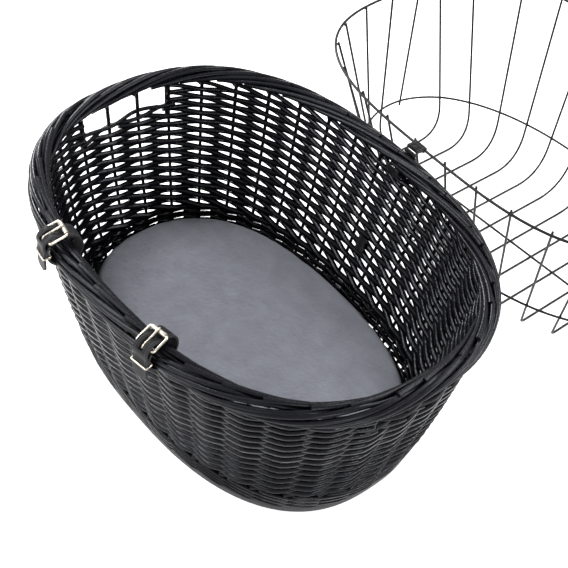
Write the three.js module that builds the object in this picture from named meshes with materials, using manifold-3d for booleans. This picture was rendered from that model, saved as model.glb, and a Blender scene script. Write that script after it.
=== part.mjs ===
// A wicker basket that carries a small dog on a bicycle, with a cushion inside and a wire dome
// that swings over it. The dome lies open beside the basket, upside down on the ground.
// Millimetres. +Z up, +X along the basket, +Y towards the dome. The origin is the middle of
// the board's underside.

import * as THREE from 'three';
import { mergeVertices } from 'three/addons/utils/BufferGeometryUtils.js';
import Module from 'manifold-3d';

const wasm = await Module();
wasm.setup();

// Driving dimensions

// Space left between two pieces that touch
const seatGap = 0.3;
// How far a cut runs past the faces that it opens
const overrun = 5;

const basket = {
  borderHalfLength: 265,
  borderHalfWidth: 200,
  borderRadius: 13,
  borderHeight: 223,
  baseHalfLength: 222,
  baseHalfWidth: 148,
  wallThickness: 11,
  wallBulge: 4,
  boardThickness: 10,
  boardLedge: 8,
  boardEdgeRound: 2,
  footHeight: 14,
  footThickness: 12,
};
// How full the corners of the plan are, where 2 is an ellipse
const borderRoundnessShare = 2.4;
const baseRoundnessShare = 2.5;

const handHole = {
  width: 121,
  height: 29,
  sillRadius: 2.8,
  stakeRadius: 2.4,
  stakePitch: 40,
  stakeEndGap: 0.6,
};

const cushionSize = {
  footClearance: 2.2,
  edgeHeight: 34,
  crown: 5,
  sideBulge: 3,
};
const cushionRoundnessShare = 2.4;
// Rings up the cushion's side: their height as shares of its edge, and how far they are drawn
// in, as shares of its bulge. Then the rings of its crown, as shares of its plan.
const cushionSideShares = [0, 0.12, 0.5, 0.88, 1];
const cushionDrawnInShares = [2.2, 0.4, 0, 0.4, 1.6];
const cushionCrownShares = [0.93, 0.8, 0.55, 0.28];
const crownFlatnessShare = 4;

const hinge = {
  strapWidth: 18,
  leather: 1.8,
  placeX: 10,
  borderClearance: 0.7,
  axisOut: 12.8,
  axisAboveBorder: 2.8,
  wireReach: 12.7,
  wireDrop: 1.4,
  flexGap: 0.7,
  rivetRadius: 1.2,
  rivetHeadRadius: 2.4,
  rivetHeadHeight: 0.9,
  wrapStartAngle: 40,
  wrapEndAngle: -195,
  wrapStepAngle: 15,
};
// Where the rivet sits along the flap, and its head's flat top against its rim
const rivetPlaceShare = 0.36;
const rivetTopShare = 0.6;

const dome = {
  halfLength: 262,
  halfWidth: 199,
  ringEndInset: 17,
  ringSideInset: 47,
  ringShift: 10,
  ringDepth: 181,
  rimWireRadius: 1.75,
  wireRadius: 1.4,
  nearBend: 8,
  farBend: 46,
  spineShift: -1,
  spineBend: 36,
  endRibPitch: 50,
  endRibLowPitch: 38,
  tail: 1,
  ribTail: 3,
  eyeClearance: 0.5,
};
const domeRoundnessShare = 3.1;
const ringRoundnessShare = 2.1;
// How far the spine drifts away from the hinge, as a share of its length along the dome
const spineDriftShare = 0.055;
// How far apart the hoops are at the rim, near side and far side, and on the crown, as shares of
// the dome's half length
const rimPitchShare = 0.1916;
const farPitchShare = 0.2073;
const crownPitchShare = 0.1412;
const hoopsPerSide = 6;
const evenHoopsPerSide = 4;
// Where the outermost hoops meet the rim, as shares of its half length, near side and far side
const endHoopNearShares = [0.83, 0.933];
const endHoopFarShares = [0.92, 0.985];

const strap = {
  placeX: 84,
  width: 18,
  leather: 2.5,
  loopPlay: 5,
  heelAngle: 45,
  rollerAngle: 95,
  slotStartAngle: 77,
  slotEndAngle: 31,
  bendStepAngle: 12,
  tongueLength: 24,
  tipRound: 7,
  slotWidth: 5,
  keeperWire: 1,
  keeperDrop: 3,
};
// How far the tip's corners are cut back, halfway round, against its round
const tipCutShare = 0.3;
const buckle = {
  wireRadius: 1.5,
  cornerReach: 1.8,
  rollerRadius: 2.6,
  boreGap: 0.2,
  prongRadius: 1.2,
  prongEyeWall: 1.35,
  prongEyeWidth: 3.6,
  prongOverhang: 1.5,
  sideGap: 1,
};

const leash = { placeX: 2, height: 104, width: 12, length: 20, thickness: 3 };

// How finely round shapes are cut
const ovalSteps = 72;
const borderSides = 12;
const wireSides = 6;
const rodSides = 8;
const smallSides = 12;
const wallLevels = 5;
const bendSteps = 4;
const cornerSteps = 2;
const sillSteps = 8;
const ringStepsPerGap = 3;

// Colours and finishes
const finish = {
  willow: new THREE.MeshStandardMaterial({ color: 0x17171a, roughness: 0.38, metalness: 0 }),
  board: new THREE.MeshStandardMaterial({ color: 0x1c1c20, roughness: 0.35, metalness: 0 }),
  plush: new THREE.MeshStandardMaterial({ color: 0x767882, roughness: 0.95, metalness: 0 }),
  leather: new THREE.MeshStandardMaterial({ color: 0x161617, roughness: 0.5, metalness: 0 }),
  wire: new THREE.MeshStandardMaterial({ color: 0x1f1f21, roughness: 0.45, metalness: 0 }),
  silver: new THREE.MeshStandardMaterial({ color: 0xc9c2b2, roughness: 0.25, metalness: 1 }),
};

// Geometry helpers

// A point of an oval whose corners are fuller than an ellipse's, at the turn t
function ovalPoint(halfLength, halfWidth, roundness, t) {
  const c = Math.cos(t);
  const s = Math.sin(t);
  const stretch = (Math.abs(c) ** roundness + Math.abs(s) ** roundness) ** (-1 / roundness);
  return new THREE.Vector2(halfLength * c * stretch, halfWidth * s * stretch);
}

// How far out such an oval lies at the place x along its length
function ovalReach(halfLength, halfWidth, roundness, x) {
  return halfWidth * (1 - Math.abs(x / halfLength) ** roundness) ** (1 / roundness);
}

// Rings of points, each joined to the next, as one closed body
function skinRings(rings, { loop = false, faceted = false } = {}) {
  const count = rings[0].length;
  const positions = rings.flat().flatMap((p) => [p.x, p.y, p.z]);
  const index = [];
  const last = loop ? rings.length : rings.length - 1;
  for (let i = 0; i < last; i += 1) {
    const a = i * count;
    const b = ((i + 1) % rings.length) * count;
    for (let j = 0; j < count; j += 1) {
      const k = (j + 1) % count;
      index.push(a + j, b + j, b + k, a + j, b + k, a + k);
    }
  }
  if (!loop) {
    for (const [ring, turned] of [[0, false], [rings.length - 1, true]]) {
      const centre = new THREE.Vector3();
      rings[ring].forEach((p) => centre.addScaledVector(p, 1 / count));
      const hub = positions.length / 3;
      positions.push(centre.x, centre.y, centre.z);
      for (let j = 0; j < count; j += 1) {
        const k = (j + 1) % count;
        index.push(hub, ring * count + (turned ? k : j), ring * count + (turned ? j : k));
      }
    }
  }
  const geometry = new THREE.BufferGeometry();
  geometry.setAttribute('position', new THREE.Float32BufferAttribute(positions, 3));
  geometry.setIndex(signedVolume(positions, index) < 0 ? index.reverse() : index);
  const shown = faceted ? geometry.toNonIndexed() : geometry;
  shown.computeVertexNormals();
  return shown;
}

function signedVolume(positions, index) {
  const at = (i) => new THREE.Vector3().fromArray(positions, i * 3);
  let sum = 0;
  for (let i = 0; i < index.length; i += 3) {
    sum += at(index[i]).dot(at(index[i + 1]).cross(at(index[i + 2])));
  }
  return sum;
}

// A round wire through points. Its section is carried along without twisting.
function wireThrough(points, radius, { closed = false, sides = wireSides } = {}) {
  const count = points.length;
  const tangents = points.map((p, i) => {
    const before = points[closed ? (i + count - 1) % count : Math.max(i - 1, 0)];
    const after = points[closed ? (i + 1) % count : Math.min(i + 1, count - 1)];
    return after.clone().sub(before).normalize();
  });
  const up = Math.abs(tangents[0].z) > 0.9 ? new THREE.Vector3(1, 0, 0) : new THREE.Vector3(0, 0, 1);
  let side = up.cross(tangents[0]).normalize();
  const rings = points.map((p, i) => {
    if (i > 0) {
      const turn = new THREE.Quaternion().setFromUnitVectors(tangents[i - 1], tangents[i]);
      side = side.clone().applyQuaternion(turn);
    }
    const across = new THREE.Vector3().crossVectors(tangents[i], side);
    return Array.from({ length: sides }, (_, j) => {
      const a = (j / sides) * Math.PI * 2;
      return p.clone()
        .addScaledVector(side, Math.cos(a) * radius)
        .addScaledVector(across, Math.sin(a) * radius);
    });
  });
  return skinRings(rings, { loop: closed });
}

// A straight round rod between two points
function rod(from, to, radius, sides = rodSides) {
  const along = to.clone().sub(from);
  const geometry = new THREE.CylinderGeometry(radius, radius, along.length(), sides);
  const up = new THREE.Vector3(0, 1, 0);
  geometry.applyQuaternion(new THREE.Quaternion().setFromUnitVectors(up, along.normalize()));
  const middle = from.clone().add(to).multiplyScalar(0.5);
  return geometry.translate(middle.x, middle.y, middle.z);
}

// The points of a corner rounded by a curve that starts and ends at the given reach from it
function roundedCorner(from, corner, to, reach, steps) {
  const start = corner.clone().add(from.clone().sub(corner).setLength(reach));
  const end = corner.clone().add(to.clone().sub(corner).setLength(reach));
  return new THREE.QuadraticBezierCurve3(start, corner, end).getPoints(steps);
}

function toSolid(geometry) {
  const bare = new THREE.BufferGeometry();
  bare.setAttribute('position', geometry.getAttribute('position').clone());
  if (geometry.index) bare.setIndex(geometry.index.clone());
  const merged = mergeVertices(bare);
  return new wasm.Manifold(new wasm.Mesh({
    numProp: 3,
    vertProperties: new Float32Array(merged.getAttribute('position').array),
    triVerts: new Uint32Array(merged.index.array),
  }));
}

function fromSolid(solid) {
  const mesh = solid.getMesh();
  const geometry = new THREE.BufferGeometry();
  geometry.setAttribute('position', new THREE.BufferAttribute(mesh.vertProperties, 3));
  geometry.setIndex(new THREE.BufferAttribute(mesh.triVerts, 1));
  const faceted = geometry.toNonIndexed();
  faceted.computeVertexNormals();
  return faceted;
}

// One geometry with others cut out of it
function cutOut(geometry, tools) {
  const cut = tools.reduce((solid, tool) => solid.subtract(toSolid(tool)), toSolid(geometry));
  return fromSolid(cut);
}

function boxBetween(low, high) {
  const size = high.clone().sub(low);
  const middle = low.clone().add(high).multiplyScalar(0.5);
  return new THREE.BoxGeometry(size.x, size.y, size.z).translate(middle.x, middle.y, middle.z);
}

// A flat outline of points, y and z, given a width along x about its middle
function acrossX(outline, width, holes = []) {
  const shape = new THREE.Shape(outline);
  shape.holes = holes.map((hole) => new THREE.Path(hole));
  const geometry = new THREE.ExtrudeGeometry(shape, { depth: width, bevelEnabled: false });
  // The outline's x and y become y and z, and its depth becomes x
  geometry.applyMatrix4(new THREE.Matrix4().makeBasis(
    new THREE.Vector3(0, 1, 0), new THREE.Vector3(0, 0, 1), new THREE.Vector3(1, 0, 0),
  ));
  return geometry.translate(-width / 2, 0, 0);
}

// The outline of a strip of even thickness along a path of points
function stripOutline(path, thickness) {
  const left = [];
  const right = [];
  path.forEach((p, i) => {
    const before = path[Math.max(i - 1, 0)];
    const after = path[Math.min(i + 1, path.length - 1)];
    const along = after.clone().sub(before).normalize();
    const out = new THREE.Vector2(-along.y, along.x).multiplyScalar(thickness / 2);
    left.push(p.clone().add(out));
    right.unshift(p.clone().sub(out));
  });
  return [...left, ...right];
}

const onCircle = (radius, degrees, centre = new THREE.Vector2()) => {
  const a = THREE.MathUtils.degToRad(degrees);
  return new THREE.Vector2(Math.cos(a), Math.sin(a)).multiplyScalar(radius).add(centre);
};
const circleOutline = (radius, centre, sides = smallSides) => (
  Array.from({ length: sides }, (_, i) => onCircle(radius, (i / sides) * 360, centre))
);

const part = new THREE.Group();
function addPiece(name, geometry, material, parent = part) {
  const mesh = new THREE.Mesh(geometry, material);
  mesh.name = name;
  parent.add(mesh);
  return mesh;
}

// The basket: a board with holes for the stakes, foot rows, a woven wall and a rolled border

// The middle of the wall at a height, as half length, half width and roundness
function wallAt(z) {
  const share = z / basket.borderHeight;
  const bulge = basket.wallBulge * (1 - (2 * share - 1) ** 2);
  return {
    halfLength: THREE.MathUtils.lerp(basket.baseHalfLength, basket.borderHalfLength, share) + bulge,
    halfWidth: THREE.MathUtils.lerp(basket.baseHalfWidth, basket.borderHalfWidth, share) + bulge,
    roundness: THREE.MathUtils.lerp(baseRoundnessShare, borderRoundnessShare, share),
  };
}

// A level ring of points on an oval
function ovalRing(halfLength, halfWidth, roundness, z) {
  return Array.from({ length: ovalSteps }, (_, i) => {
    const p = ovalPoint(halfLength, halfWidth, roundness, (i / ovalSteps) * Math.PI * 2);
    return new THREE.Vector3(p.x, p.y, z);
  });
}

// A level ring of points on the wall, moved outwards by an offset
function wallRing(z, offset) {
  const { halfLength, halfWidth, roundness } = wallAt(z);
  return ovalRing(halfLength + offset, halfWidth + offset, roundness, z);
}

function ringBody(lowZ, highZ, thickness, levels) {
  const heights = Array.from({ length: levels }, (_, i) => (
    THREE.MathUtils.lerp(lowZ, highZ, i / (levels - 1))
  ));
  const outside = heights.map((z) => wallRing(z, thickness / 2));
  const inside = heights.map((z) => wallRing(z, -thickness / 2)).reverse();
  return skinRings([...outside, ...inside], { loop: true });
}

const footTop = basket.boardThickness + basket.footHeight;
const borderBottom = basket.borderHeight - basket.borderRadius;
const wallBottom = footTop + seatGap;
const wallTop = borderBottom - seatGap;

function boardGeometry() {
  const edge = basket.boardEdgeRound;
  const rings = [
    [0, -edge], [edge, 0], [basket.boardThickness - edge, 0], [basket.boardThickness, -edge],
  ].map(([z, inset]) => wallRing(0, basket.boardLedge + inset).map((p) => p.setZ(z)));
  return skinRings(rings);
}

addPiece('base_board', boardGeometry(), finish.board);
addPiece('foot_border', ringBody(
  basket.boardThickness + seatGap, footTop, basket.footThickness, 2,
), finish.willow);

const borderPath = ovalRing(
  basket.borderHalfLength, basket.borderHalfWidth, borderRoundnessShare, basket.borderHeight,
);
addPiece('rolled_border', wireThrough(
  borderPath, basket.borderRadius, { closed: true, sides: borderSides },
), finish.willow);

// Hand holes at both ends, just under the border

// The wall's middle at an end of the basket, at a place across it and a height
function wallEndPoint(end, y, z) {
  const { halfLength, halfWidth, roundness } = wallAt(z);
  return new THREE.Vector3(end * ovalReach(halfWidth, halfLength, roundness, y), y, z);
}

const holeSill = wallTop - handHole.height;
const handHoleCuts = [-1, 1].map((end) => {
  const past = basket.wallThickness + overrun;
  const outer = wallAt(wallTop).halfLength + past;
  const inner = wallEndPoint(1, handHole.width / 2, holeSill).x - past;
  return boxBetween(
    new THREE.Vector3(Math.min(end * outer, end * inner), -handHole.width / 2, holeSill),
    new THREE.Vector3(
      Math.max(end * outer, end * inner), handHole.width / 2, wallTop + overrun,
    ),
  );
});

const sillMiddle = holeSill + seatGap + handHole.sillRadius;
const sillHalf = handHole.width / 2 - handHole.sillRadius;
for (const [end, side] of [[-1, 'left'], [1, 'right']]) {
  const sillPath = Array.from({ length: sillSteps + 1 }, (_, i) => (
    wallEndPoint(end, THREE.MathUtils.lerp(-sillHalf, sillHalf, i / sillSteps), sillMiddle)
  ));
  addPiece(`hand_hole_sill_${side}`, wireThrough(
    sillPath, handHole.sillRadius, { sides: rodSides },
  ), finish.willow);
  for (const [place, spot] of [[-1, 'near'], [1, 'far']]) {
    const y = place * handHole.stakePitch / 2;
    const low = wallEndPoint(end, y, sillMiddle + handHole.sillRadius + seatGap);
    const high = wallEndPoint(end, y, wallTop - handHole.stakeEndGap);
    addPiece(`hand_hole_stake_${side}_${spot}`, rod(low, high, handHole.stakeRadius),
      finish.willow);
  }
}

// Front straps: each is one strip that starts at its buckle, goes down round the border, comes
// up inside, runs under the roller and over the heel bar, and hangs down outside.
// Its profile is drawn outwards and upwards from the middle of its loop.

const loopInner = basket.borderRadius + strap.loopPlay;
const firstLayer = loopInner + strap.leather / 2;
const loopOuter = loopInner + strap.leather;
const prongEye = buckle.wireRadius + buckle.boreGap + buckle.prongEyeWall;
const heelRadius = loopOuter + seatGap + prongEye;
const heelCentre = onCircle(heelRadius, strap.heelAngle);
const rollerCentre = onCircle(loopOuter + seatGap + buckle.rollerRadius, strap.rollerAngle);
const overHeel = heelRadius + buckle.wireRadius + seatGap + strap.leather / 2;
const secondLayer = loopOuter + seatGap + strap.leather / 2;
// The loop stands up loosely from the border, which it touches from below
const loopRise = strap.loopPlay - seatGap;

function strapPath() {
  const path = [];
  const step = strap.bendStepAngle;
  for (let a = strap.heelAngle - step; a > strap.rollerAngle - 360 + step; a -= step) {
    path.push(onCircle(firstLayer, a));
  }
  // Angles where the strip leaves the roller, lies over the heel bar and lies flat again
  const rise = [strap.rollerAngle, strap.rollerAngle - step, strap.heelAngle + step,
    strap.heelAngle, strap.heelAngle - step, step, 0];
  const radii = [firstLayer, firstLayer, overHeel, overHeel, overHeel, secondLayer, secondLayer];
  rise.forEach((a, i) => path.push(onCircle(radii[i], a)));
  path.push(new THREE.Vector2(secondLayer, -strap.tongueLength / 2));
  path.push(new THREE.Vector2(secondLayer, -strap.tongueLength));
  return path;
}

function frontStrapGeometry() {
  const body = acrossX(stripOutline(strapPath(), strap.leather), strap.width);
  // The prong's slot, through the tongue beside and above the heel bar
  const inner = heelRadius - prongEye - seatGap / 2;
  const outer = overHeel + overrun;
  const slot = acrossX([
    onCircle(outer, strap.slotStartAngle), onCircle(outer, strap.slotEndAngle),
    onCircle(inner, strap.slotEndAngle), onCircle(inner, strap.slotStartAngle),
  ], strap.slotWidth);
  // The tip's two corners are cut to a rounded point
  const cutBack = strap.tipRound * tipCutShare;
  const tipCorners = [-1, 1].map((side) => {
    const edge = side * strap.width / 2;
    const tip = new THREE.Shape([
      new THREE.Vector2(edge + side * overrun, -strap.tongueLength - overrun),
      new THREE.Vector2(edge + side * overrun, -strap.tongueLength + strap.tipRound),
      new THREE.Vector2(edge, -strap.tongueLength + strap.tipRound),
      new THREE.Vector2(edge - side * cutBack, -strap.tongueLength + cutBack),
      new THREE.Vector2(edge - side * strap.tipRound, -strap.tongueLength),
      new THREE.Vector2(edge - side * strap.tipRound, -strap.tongueLength - overrun),
    ]);
    const depth = strap.leather + overrun;
    const corner = new THREE.ExtrudeGeometry(tip, { depth, bevelEnabled: false });
    corner.applyMatrix4(new THREE.Matrix4().makeBasis(
      new THREE.Vector3(1, 0, 0), new THREE.Vector3(0, 0, 1), new THREE.Vector3(0, -1, 0),
    ));
    return corner.translate(0, secondLayer + depth / 2, 0);
  });
  return cutOut(body, [slot, ...tipCorners]);
}

function buckleFrameGeometry() {
  const halfInside = strap.width / 2 + buckle.sideGap + buckle.wireRadius;
  const at = (side, p) => new THREE.Vector3(side * halfInside, p.x, p.y);
  const corners = [at(-1, heelCentre), at(1, heelCentre), at(1, rollerCentre),
    at(-1, rollerCentre)];
  const path = corners.flatMap((corner, i) => roundedCorner(
    corners[(i + 3) % 4], corner, corners[(i + 1) % 4], buckle.cornerReach, cornerSteps,
  ));
  return wireThrough(path, buckle.wireRadius, { closed: true, sides: rodSides });
}

const axisX = (p, half) => [new THREE.Vector3(-half, p.x, p.y), new THREE.Vector3(half, p.x, p.y)];

function rollerGeometry() {
  const half = strap.width / 2;
  const body = rod(...axisX(rollerCentre, half), buckle.rollerRadius, smallSides);
  const bore = rod(
    ...axisX(rollerCentre, half + overrun), buckle.wireRadius + buckle.boreGap, smallSides,
  );
  return cutOut(body, [bore]);
}

// The line of the prong, from beside the heel bar to just past the top of the roller
const prongAlong = rollerCentre.clone().sub(heelCentre).normalize();
const prongOut = new THREE.Vector2(prongAlong.y, -prongAlong.x);
const prongLift = buckle.rollerRadius + buckle.prongRadius + seatGap;
const prongTip = rollerCentre.clone().addScaledVector(prongOut, prongLift)
  .addScaledVector(prongAlong, buckle.prongOverhang);
const prongRoot = heelCentre.clone()
  .addScaledVector(prongOut, prongEye - buckle.prongRadius)
  .addScaledVector(prongAlong, buckle.prongEyeWall);

function prongGeometry() {
  const eye = toSolid(rod(...axisX(heelCentre, buckle.prongEyeWidth / 2), prongEye, smallSides));
  const at = (p) => new THREE.Vector3(0, p.x, p.y);
  const bar = toSolid(rod(at(prongRoot), at(prongTip), buckle.prongRadius));
  const bore = rod(
    ...axisX(heelCentre, buckle.prongEyeWidth / 2 + overrun), buckle.wireRadius + buckle.boreGap,
    smallSides,
  );
  return fromSolid(eye.add(bar).subtract(toSolid(bore)));
}

// A bent wire loop that holds the tongue to the first layer
function keeperGeometry() {
  const side = strap.width / 2 + seatGap + strap.keeperWire;
  const inner = Math.sqrt(loopInner ** 2 - (strap.keeperDrop + strap.keeperWire) ** 2)
    - seatGap * 2 - strap.keeperWire;
  const outer = secondLayer + strap.leather / 2 + seatGap + strap.keeperWire;
  const corners = [[-side, inner], [side, inner], [side, outer], [-side, outer]]
    .map(([x, y]) => new THREE.Vector3(x, y, -strap.keeperDrop));
  const path = corners.flatMap((corner, i) => roundedCorner(
    corners[(i + 3) % 4], corner, corners[(i + 1) % 4], strap.keeperWire, cornerSteps,
  ));
  return wireThrough(path, strap.keeperWire, { closed: true });
}

// Where a strap crosses the border, and which way the border runs there
function borderFrame(x, side) {
  const reach = (at) => ovalReach(
    basket.borderHalfLength, basket.borderHalfWidth, borderRoundnessShare, at,
  );
  // The slope of the oval at x
  const slope = -Math.sign(x) * (Math.abs(x) / basket.borderHalfLength) ** (borderRoundnessShare - 1)
    * (reach(x) / basket.borderHalfWidth) ** (1 - borderRoundnessShare)
    * (basket.borderHalfWidth / basket.borderHalfLength);
  return { y: side * reach(x), turn: Math.atan(side * slope) };
}

const wallNotches = [];
for (const [end, side] of [[-1, 'left'], [1, 'right']]) {
  const x = end * strap.placeX;
  const { y, turn } = borderFrame(x, -1);
  const group = new THREE.Group();
  // Outwards from the basket is -Y here, so the profile is turned half round
  group.position.set(x, y, basket.borderHeight + loopRise);
  group.rotation.z = turn + Math.PI;
  part.add(group);
  addPiece(`front_strap_${side}`, frontStrapGeometry(), finish.leather, group);
  addPiece(`buckle_frame_${side}`, buckleFrameGeometry(), finish.silver, group);
  addPiece(`buckle_roller_${side}`, rollerGeometry(), finish.silver, group);
  addPiece(`buckle_prong_${side}`, prongGeometry(), finish.silver, group);
  addPiece(`strap_keeper_${side}`, keeperGeometry(), finish.silver, group);
  // The strap runs through the wall's top edge
  const notchHalf = strap.width / 2 + strap.keeperWire;
  const notch = boxBetween(
    new THREE.Vector3(-notchHalf, -loopOuter - overrun, -loopOuter - seatGap * 2),
    new THREE.Vector3(notchHalf, loopOuter + overrun, -loopRise - basket.borderRadius / 2),
  );
  group.updateMatrixWorld();
  wallNotches.push(notch.applyMatrix4(group.matrixWorld));
}

// Dome hinge: a strap round the outside and underside of the border, and a riveted flap that
// holds the dome's wire. The leather flexes on the line between them.

const axisY = basket.borderHalfWidth + hinge.axisOut;
const axisZ = basket.borderHeight + basket.borderRadius + hinge.axisAboveBorder;
const wireY = axisY + hinge.wireReach;
const wireZ = axisZ - hinge.wireDrop;

function hingeStrapGeometry() {
  const radius = basket.borderRadius + hinge.borderClearance + hinge.leather / 2;
  const centre = new THREE.Vector2(
    ovalReach(basket.borderHalfLength, basket.borderHalfWidth, borderRoundnessShare, hinge.placeX),
    basket.borderHeight,
  );
  const path = [new THREE.Vector2(axisY, axisZ - hinge.leather - hinge.flexGap)];
  for (let a = hinge.wrapStartAngle; a >= hinge.wrapEndAngle; a -= hinge.wrapStepAngle) {
    path.push(onCircle(radius, a, centre));
  }
  return acrossX(stripOutline(path, hinge.leather), hinge.strapWidth)
    .translate(hinge.placeX, 0, 0);
}

// The wall's top edge is notched where this strap runs through it
const hingeNotchHalf = hinge.strapWidth / 2 + hinge.borderClearance;
wallNotches.push(boxBetween(
  new THREE.Vector3(
    hinge.placeX - hingeNotchHalf, basket.borderHalfWidth - basket.borderRadius - overrun,
    borderBottom - hinge.borderClearance - hinge.leather - seatGap,
  ),
  new THREE.Vector3(
    hinge.placeX + hingeNotchHalf, basket.borderHalfWidth + basket.borderRadius + overrun,
    wallTop + overrun,
  ),
));

addPiece('hinge_strap', hingeStrapGeometry(), finish.leather);

// The flap is drawn along its own length, from the flex line to the wire, then tipped up
const flapLength = Math.hypot(hinge.wireReach, hinge.wireDrop);
const flapTip = Math.atan2(-hinge.wireDrop, hinge.wireReach);
const eyeOuter = dome.rimWireRadius + seatGap + hinge.leather;
const rivetPlace = flapLength * rivetPlaceShare;

function flapGeometry() {
  const half = hinge.leather;
  const meet = Math.sqrt(eyeOuter ** 2 - half ** 2);
  const start = THREE.MathUtils.radToDeg(Math.atan2(half, -meet));
  const outline = [new THREE.Vector2(seatGap, -half), new THREE.Vector2(flapLength - meet, -half)];
  for (let i = 1; i < smallSides; i += 1) {
    const a = -start + (i / smallSides) * 2 * start;
    outline.push(onCircle(eyeOuter, a, new THREE.Vector2(flapLength, 0)));
  }
  outline.push(new THREE.Vector2(flapLength - meet, half), new THREE.Vector2(seatGap, half));
  const eye = circleOutline(
    dome.rimWireRadius + seatGap, new THREE.Vector2(flapLength, 0), smallSides,
  ).reverse();
  const body = acrossX(outline, hinge.strapWidth, [eye]);
  const bore = rod(
    new THREE.Vector3(0, rivetPlace, -half - overrun),
    new THREE.Vector3(0, rivetPlace, half + overrun), hinge.rivetRadius + seatGap, smallSides,
  );
  return cutOut(body, [bore]);
}

function rivetGeometry() {
  const face = hinge.leather + seatGap;
  const top = face + hinge.rivetHeadHeight;
  const profile = [
    new THREE.Vector2(0, -top), new THREE.Vector2(hinge.rivetHeadRadius * rivetTopShare, -top),
    new THREE.Vector2(hinge.rivetHeadRadius, -face), new THREE.Vector2(hinge.rivetRadius, -face),
    new THREE.Vector2(hinge.rivetRadius, face), new THREE.Vector2(hinge.rivetHeadRadius, face),
    new THREE.Vector2(hinge.rivetHeadRadius * rivetTopShare, top), new THREE.Vector2(0, top),
  ];
  const rivet = new THREE.LatheGeometry(profile, smallSides);
  rivet.rotateX(Math.PI / 2);
  return rivet.translate(0, rivetPlace, 0);
}

const flapGroup = new THREE.Group();
flapGroup.position.set(hinge.placeX, axisY, axisZ);
flapGroup.rotation.x = flapTip;
part.add(flapGroup);
addPiece('hinge_flap', flapGeometry(), finish.leather, flapGroup);
addPiece('hinge_rivet', rivetGeometry(), finish.silver, flapGroup);

// The wall is cut last, when all that runs through it is known. Its two halves meet below the
// hinge strap.
const wallRoom = basket.borderHalfLength + basket.borderHeight;
for (const [end, side] of [[-1, 'left'], [1, 'right']]) {
  const near = hinge.placeX - end * wallRoom;
  const far = hinge.placeX + end * seatGap / 2;
  const otherHalf = boxBetween(
    new THREE.Vector3(Math.min(near, far), -wallRoom, -overrun),
    new THREE.Vector3(Math.max(near, far), wallRoom, basket.borderHeight + overrun),
  );
  addPiece(`wicker_wall_${side}`, cutOut(
    ringBody(wallBottom, wallTop, basket.wallThickness, wallLevels),
    [otherHalf, ...handHoleCuts, ...wallNotches],
  ), finish.willow);
}

// The cushion: a flat oval mat with a low crown and soft sides

// It fits inside the foot rows' top edge.
const cushionBottom = basket.boardThickness + seatGap;
function cushionGeometry() {
  const { footClearance, edgeHeight, crown, sideBulge } = cushionSize;
  const inset = basket.footThickness / 2 + footClearance;
  const halfLength = wallAt(footTop).halfLength - inset;
  const halfWidth = wallAt(footTop).halfWidth - inset;
  // Rings from the underside up the side and over the crown
  const sideRings = cushionSideShares.map((share, i) => {
    const drawnIn = cushionDrawnInShares[i] * sideBulge;
    const z = cushionBottom + edgeHeight * share;
    return ovalRing(halfLength - drawnIn, halfWidth - drawnIn, cushionRoundnessShare, z);
  });
  const crownRings = cushionCrownShares.map((share) => ovalRing(
    halfLength * share, halfWidth * share, cushionRoundnessShare,
    cushionBottom + edgeHeight + crown * (1 - share ** crownFlatnessShare),
  ));
  return skinRings([...sideRings, ...crownRings]);
}
addPiece('cushion', cushionGeometry(), finish.plush);

// A small leather tab on the inside of the far wall, where a leash is clipped

function leashTabGeometry() {
  return new THREE.BoxGeometry(leash.width, leash.thickness, leash.length);
}
const tabWall = (z) => {
  const { halfLength, halfWidth, roundness } = wallAt(z);
  return ovalReach(halfLength, halfWidth, roundness, leash.placeX);
};
const tabLean = Math.atan2(
  tabWall(leash.height + leash.length / 2) - tabWall(leash.height - leash.length / 2),
  leash.length,
);
const tab = addPiece('leash_tab', leashTabGeometry(), finish.leather);
tab.position.set(
  leash.placeX,
  tabWall(leash.height) - (basket.wallThickness / 2 + seatGap * 2 + leash.thickness / 2)
    / Math.cos(tabLean),
  leash.height,
);
tab.rotation.x = -tabLean;

// The dome: a rim wire with hoops, a spine and end ribs welded inside it, and a ring round them.
// It is drawn in its own frame: x along, u away from the hinge, w deep, all from the rim.

const rimPitch = dome.halfLength * rimPitchShare;
const farPitch = dome.halfLength * farPitchShare;
const crownPitch = dome.halfLength * crownPitchShare;
const domeShift = hinge.placeX + rimPitch / 2
  - (hinge.strapWidth / 2 + dome.eyeClearance + dome.wireRadius);
const domePoint = (x, u, w) => new THREE.Vector3(domeShift + x, wireY + u, wireZ - w);
const domeDepth = wireZ - dome.wireRadius;
const rimInset = dome.rimWireRadius + dome.wireRadius + seatGap;
const weldGap = dome.wireRadius * 2 + seatGap;
const ringHalfLength = dome.halfLength - dome.ringEndInset;
const ringHalfWidth = dome.halfWidth - dome.ringSideInset;
const ringMiddle = dome.halfWidth + dome.ringShift;

// The place where a straight wire through two points reaches a depth
function atDepth(top, low, w) {
  const share = (w - top[2]) / (low[2] - top[2]);
  return top.map((value, i) => THREE.MathUtils.lerp(value, low[i], share));
}

// Where the side of the dome meets the rim and the ring, near the hinge or far from it
function sidePoints(rimX, ringX, direction) {
  const onRim = ovalReach(dome.halfLength, dome.halfWidth, domeRoundnessShare, rimX) - rimInset;
  const onRing = ovalReach(
    ringHalfLength - weldGap, ringHalfWidth - weldGap, ringRoundnessShare, ringX,
  );
  return [
    [rimX * (1 - rimInset / dome.halfLength), dome.halfWidth + direction * onRim, 0],
    [ringX, ringMiddle + direction * onRing, dome.ringDepth],
  ];
}

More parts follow.
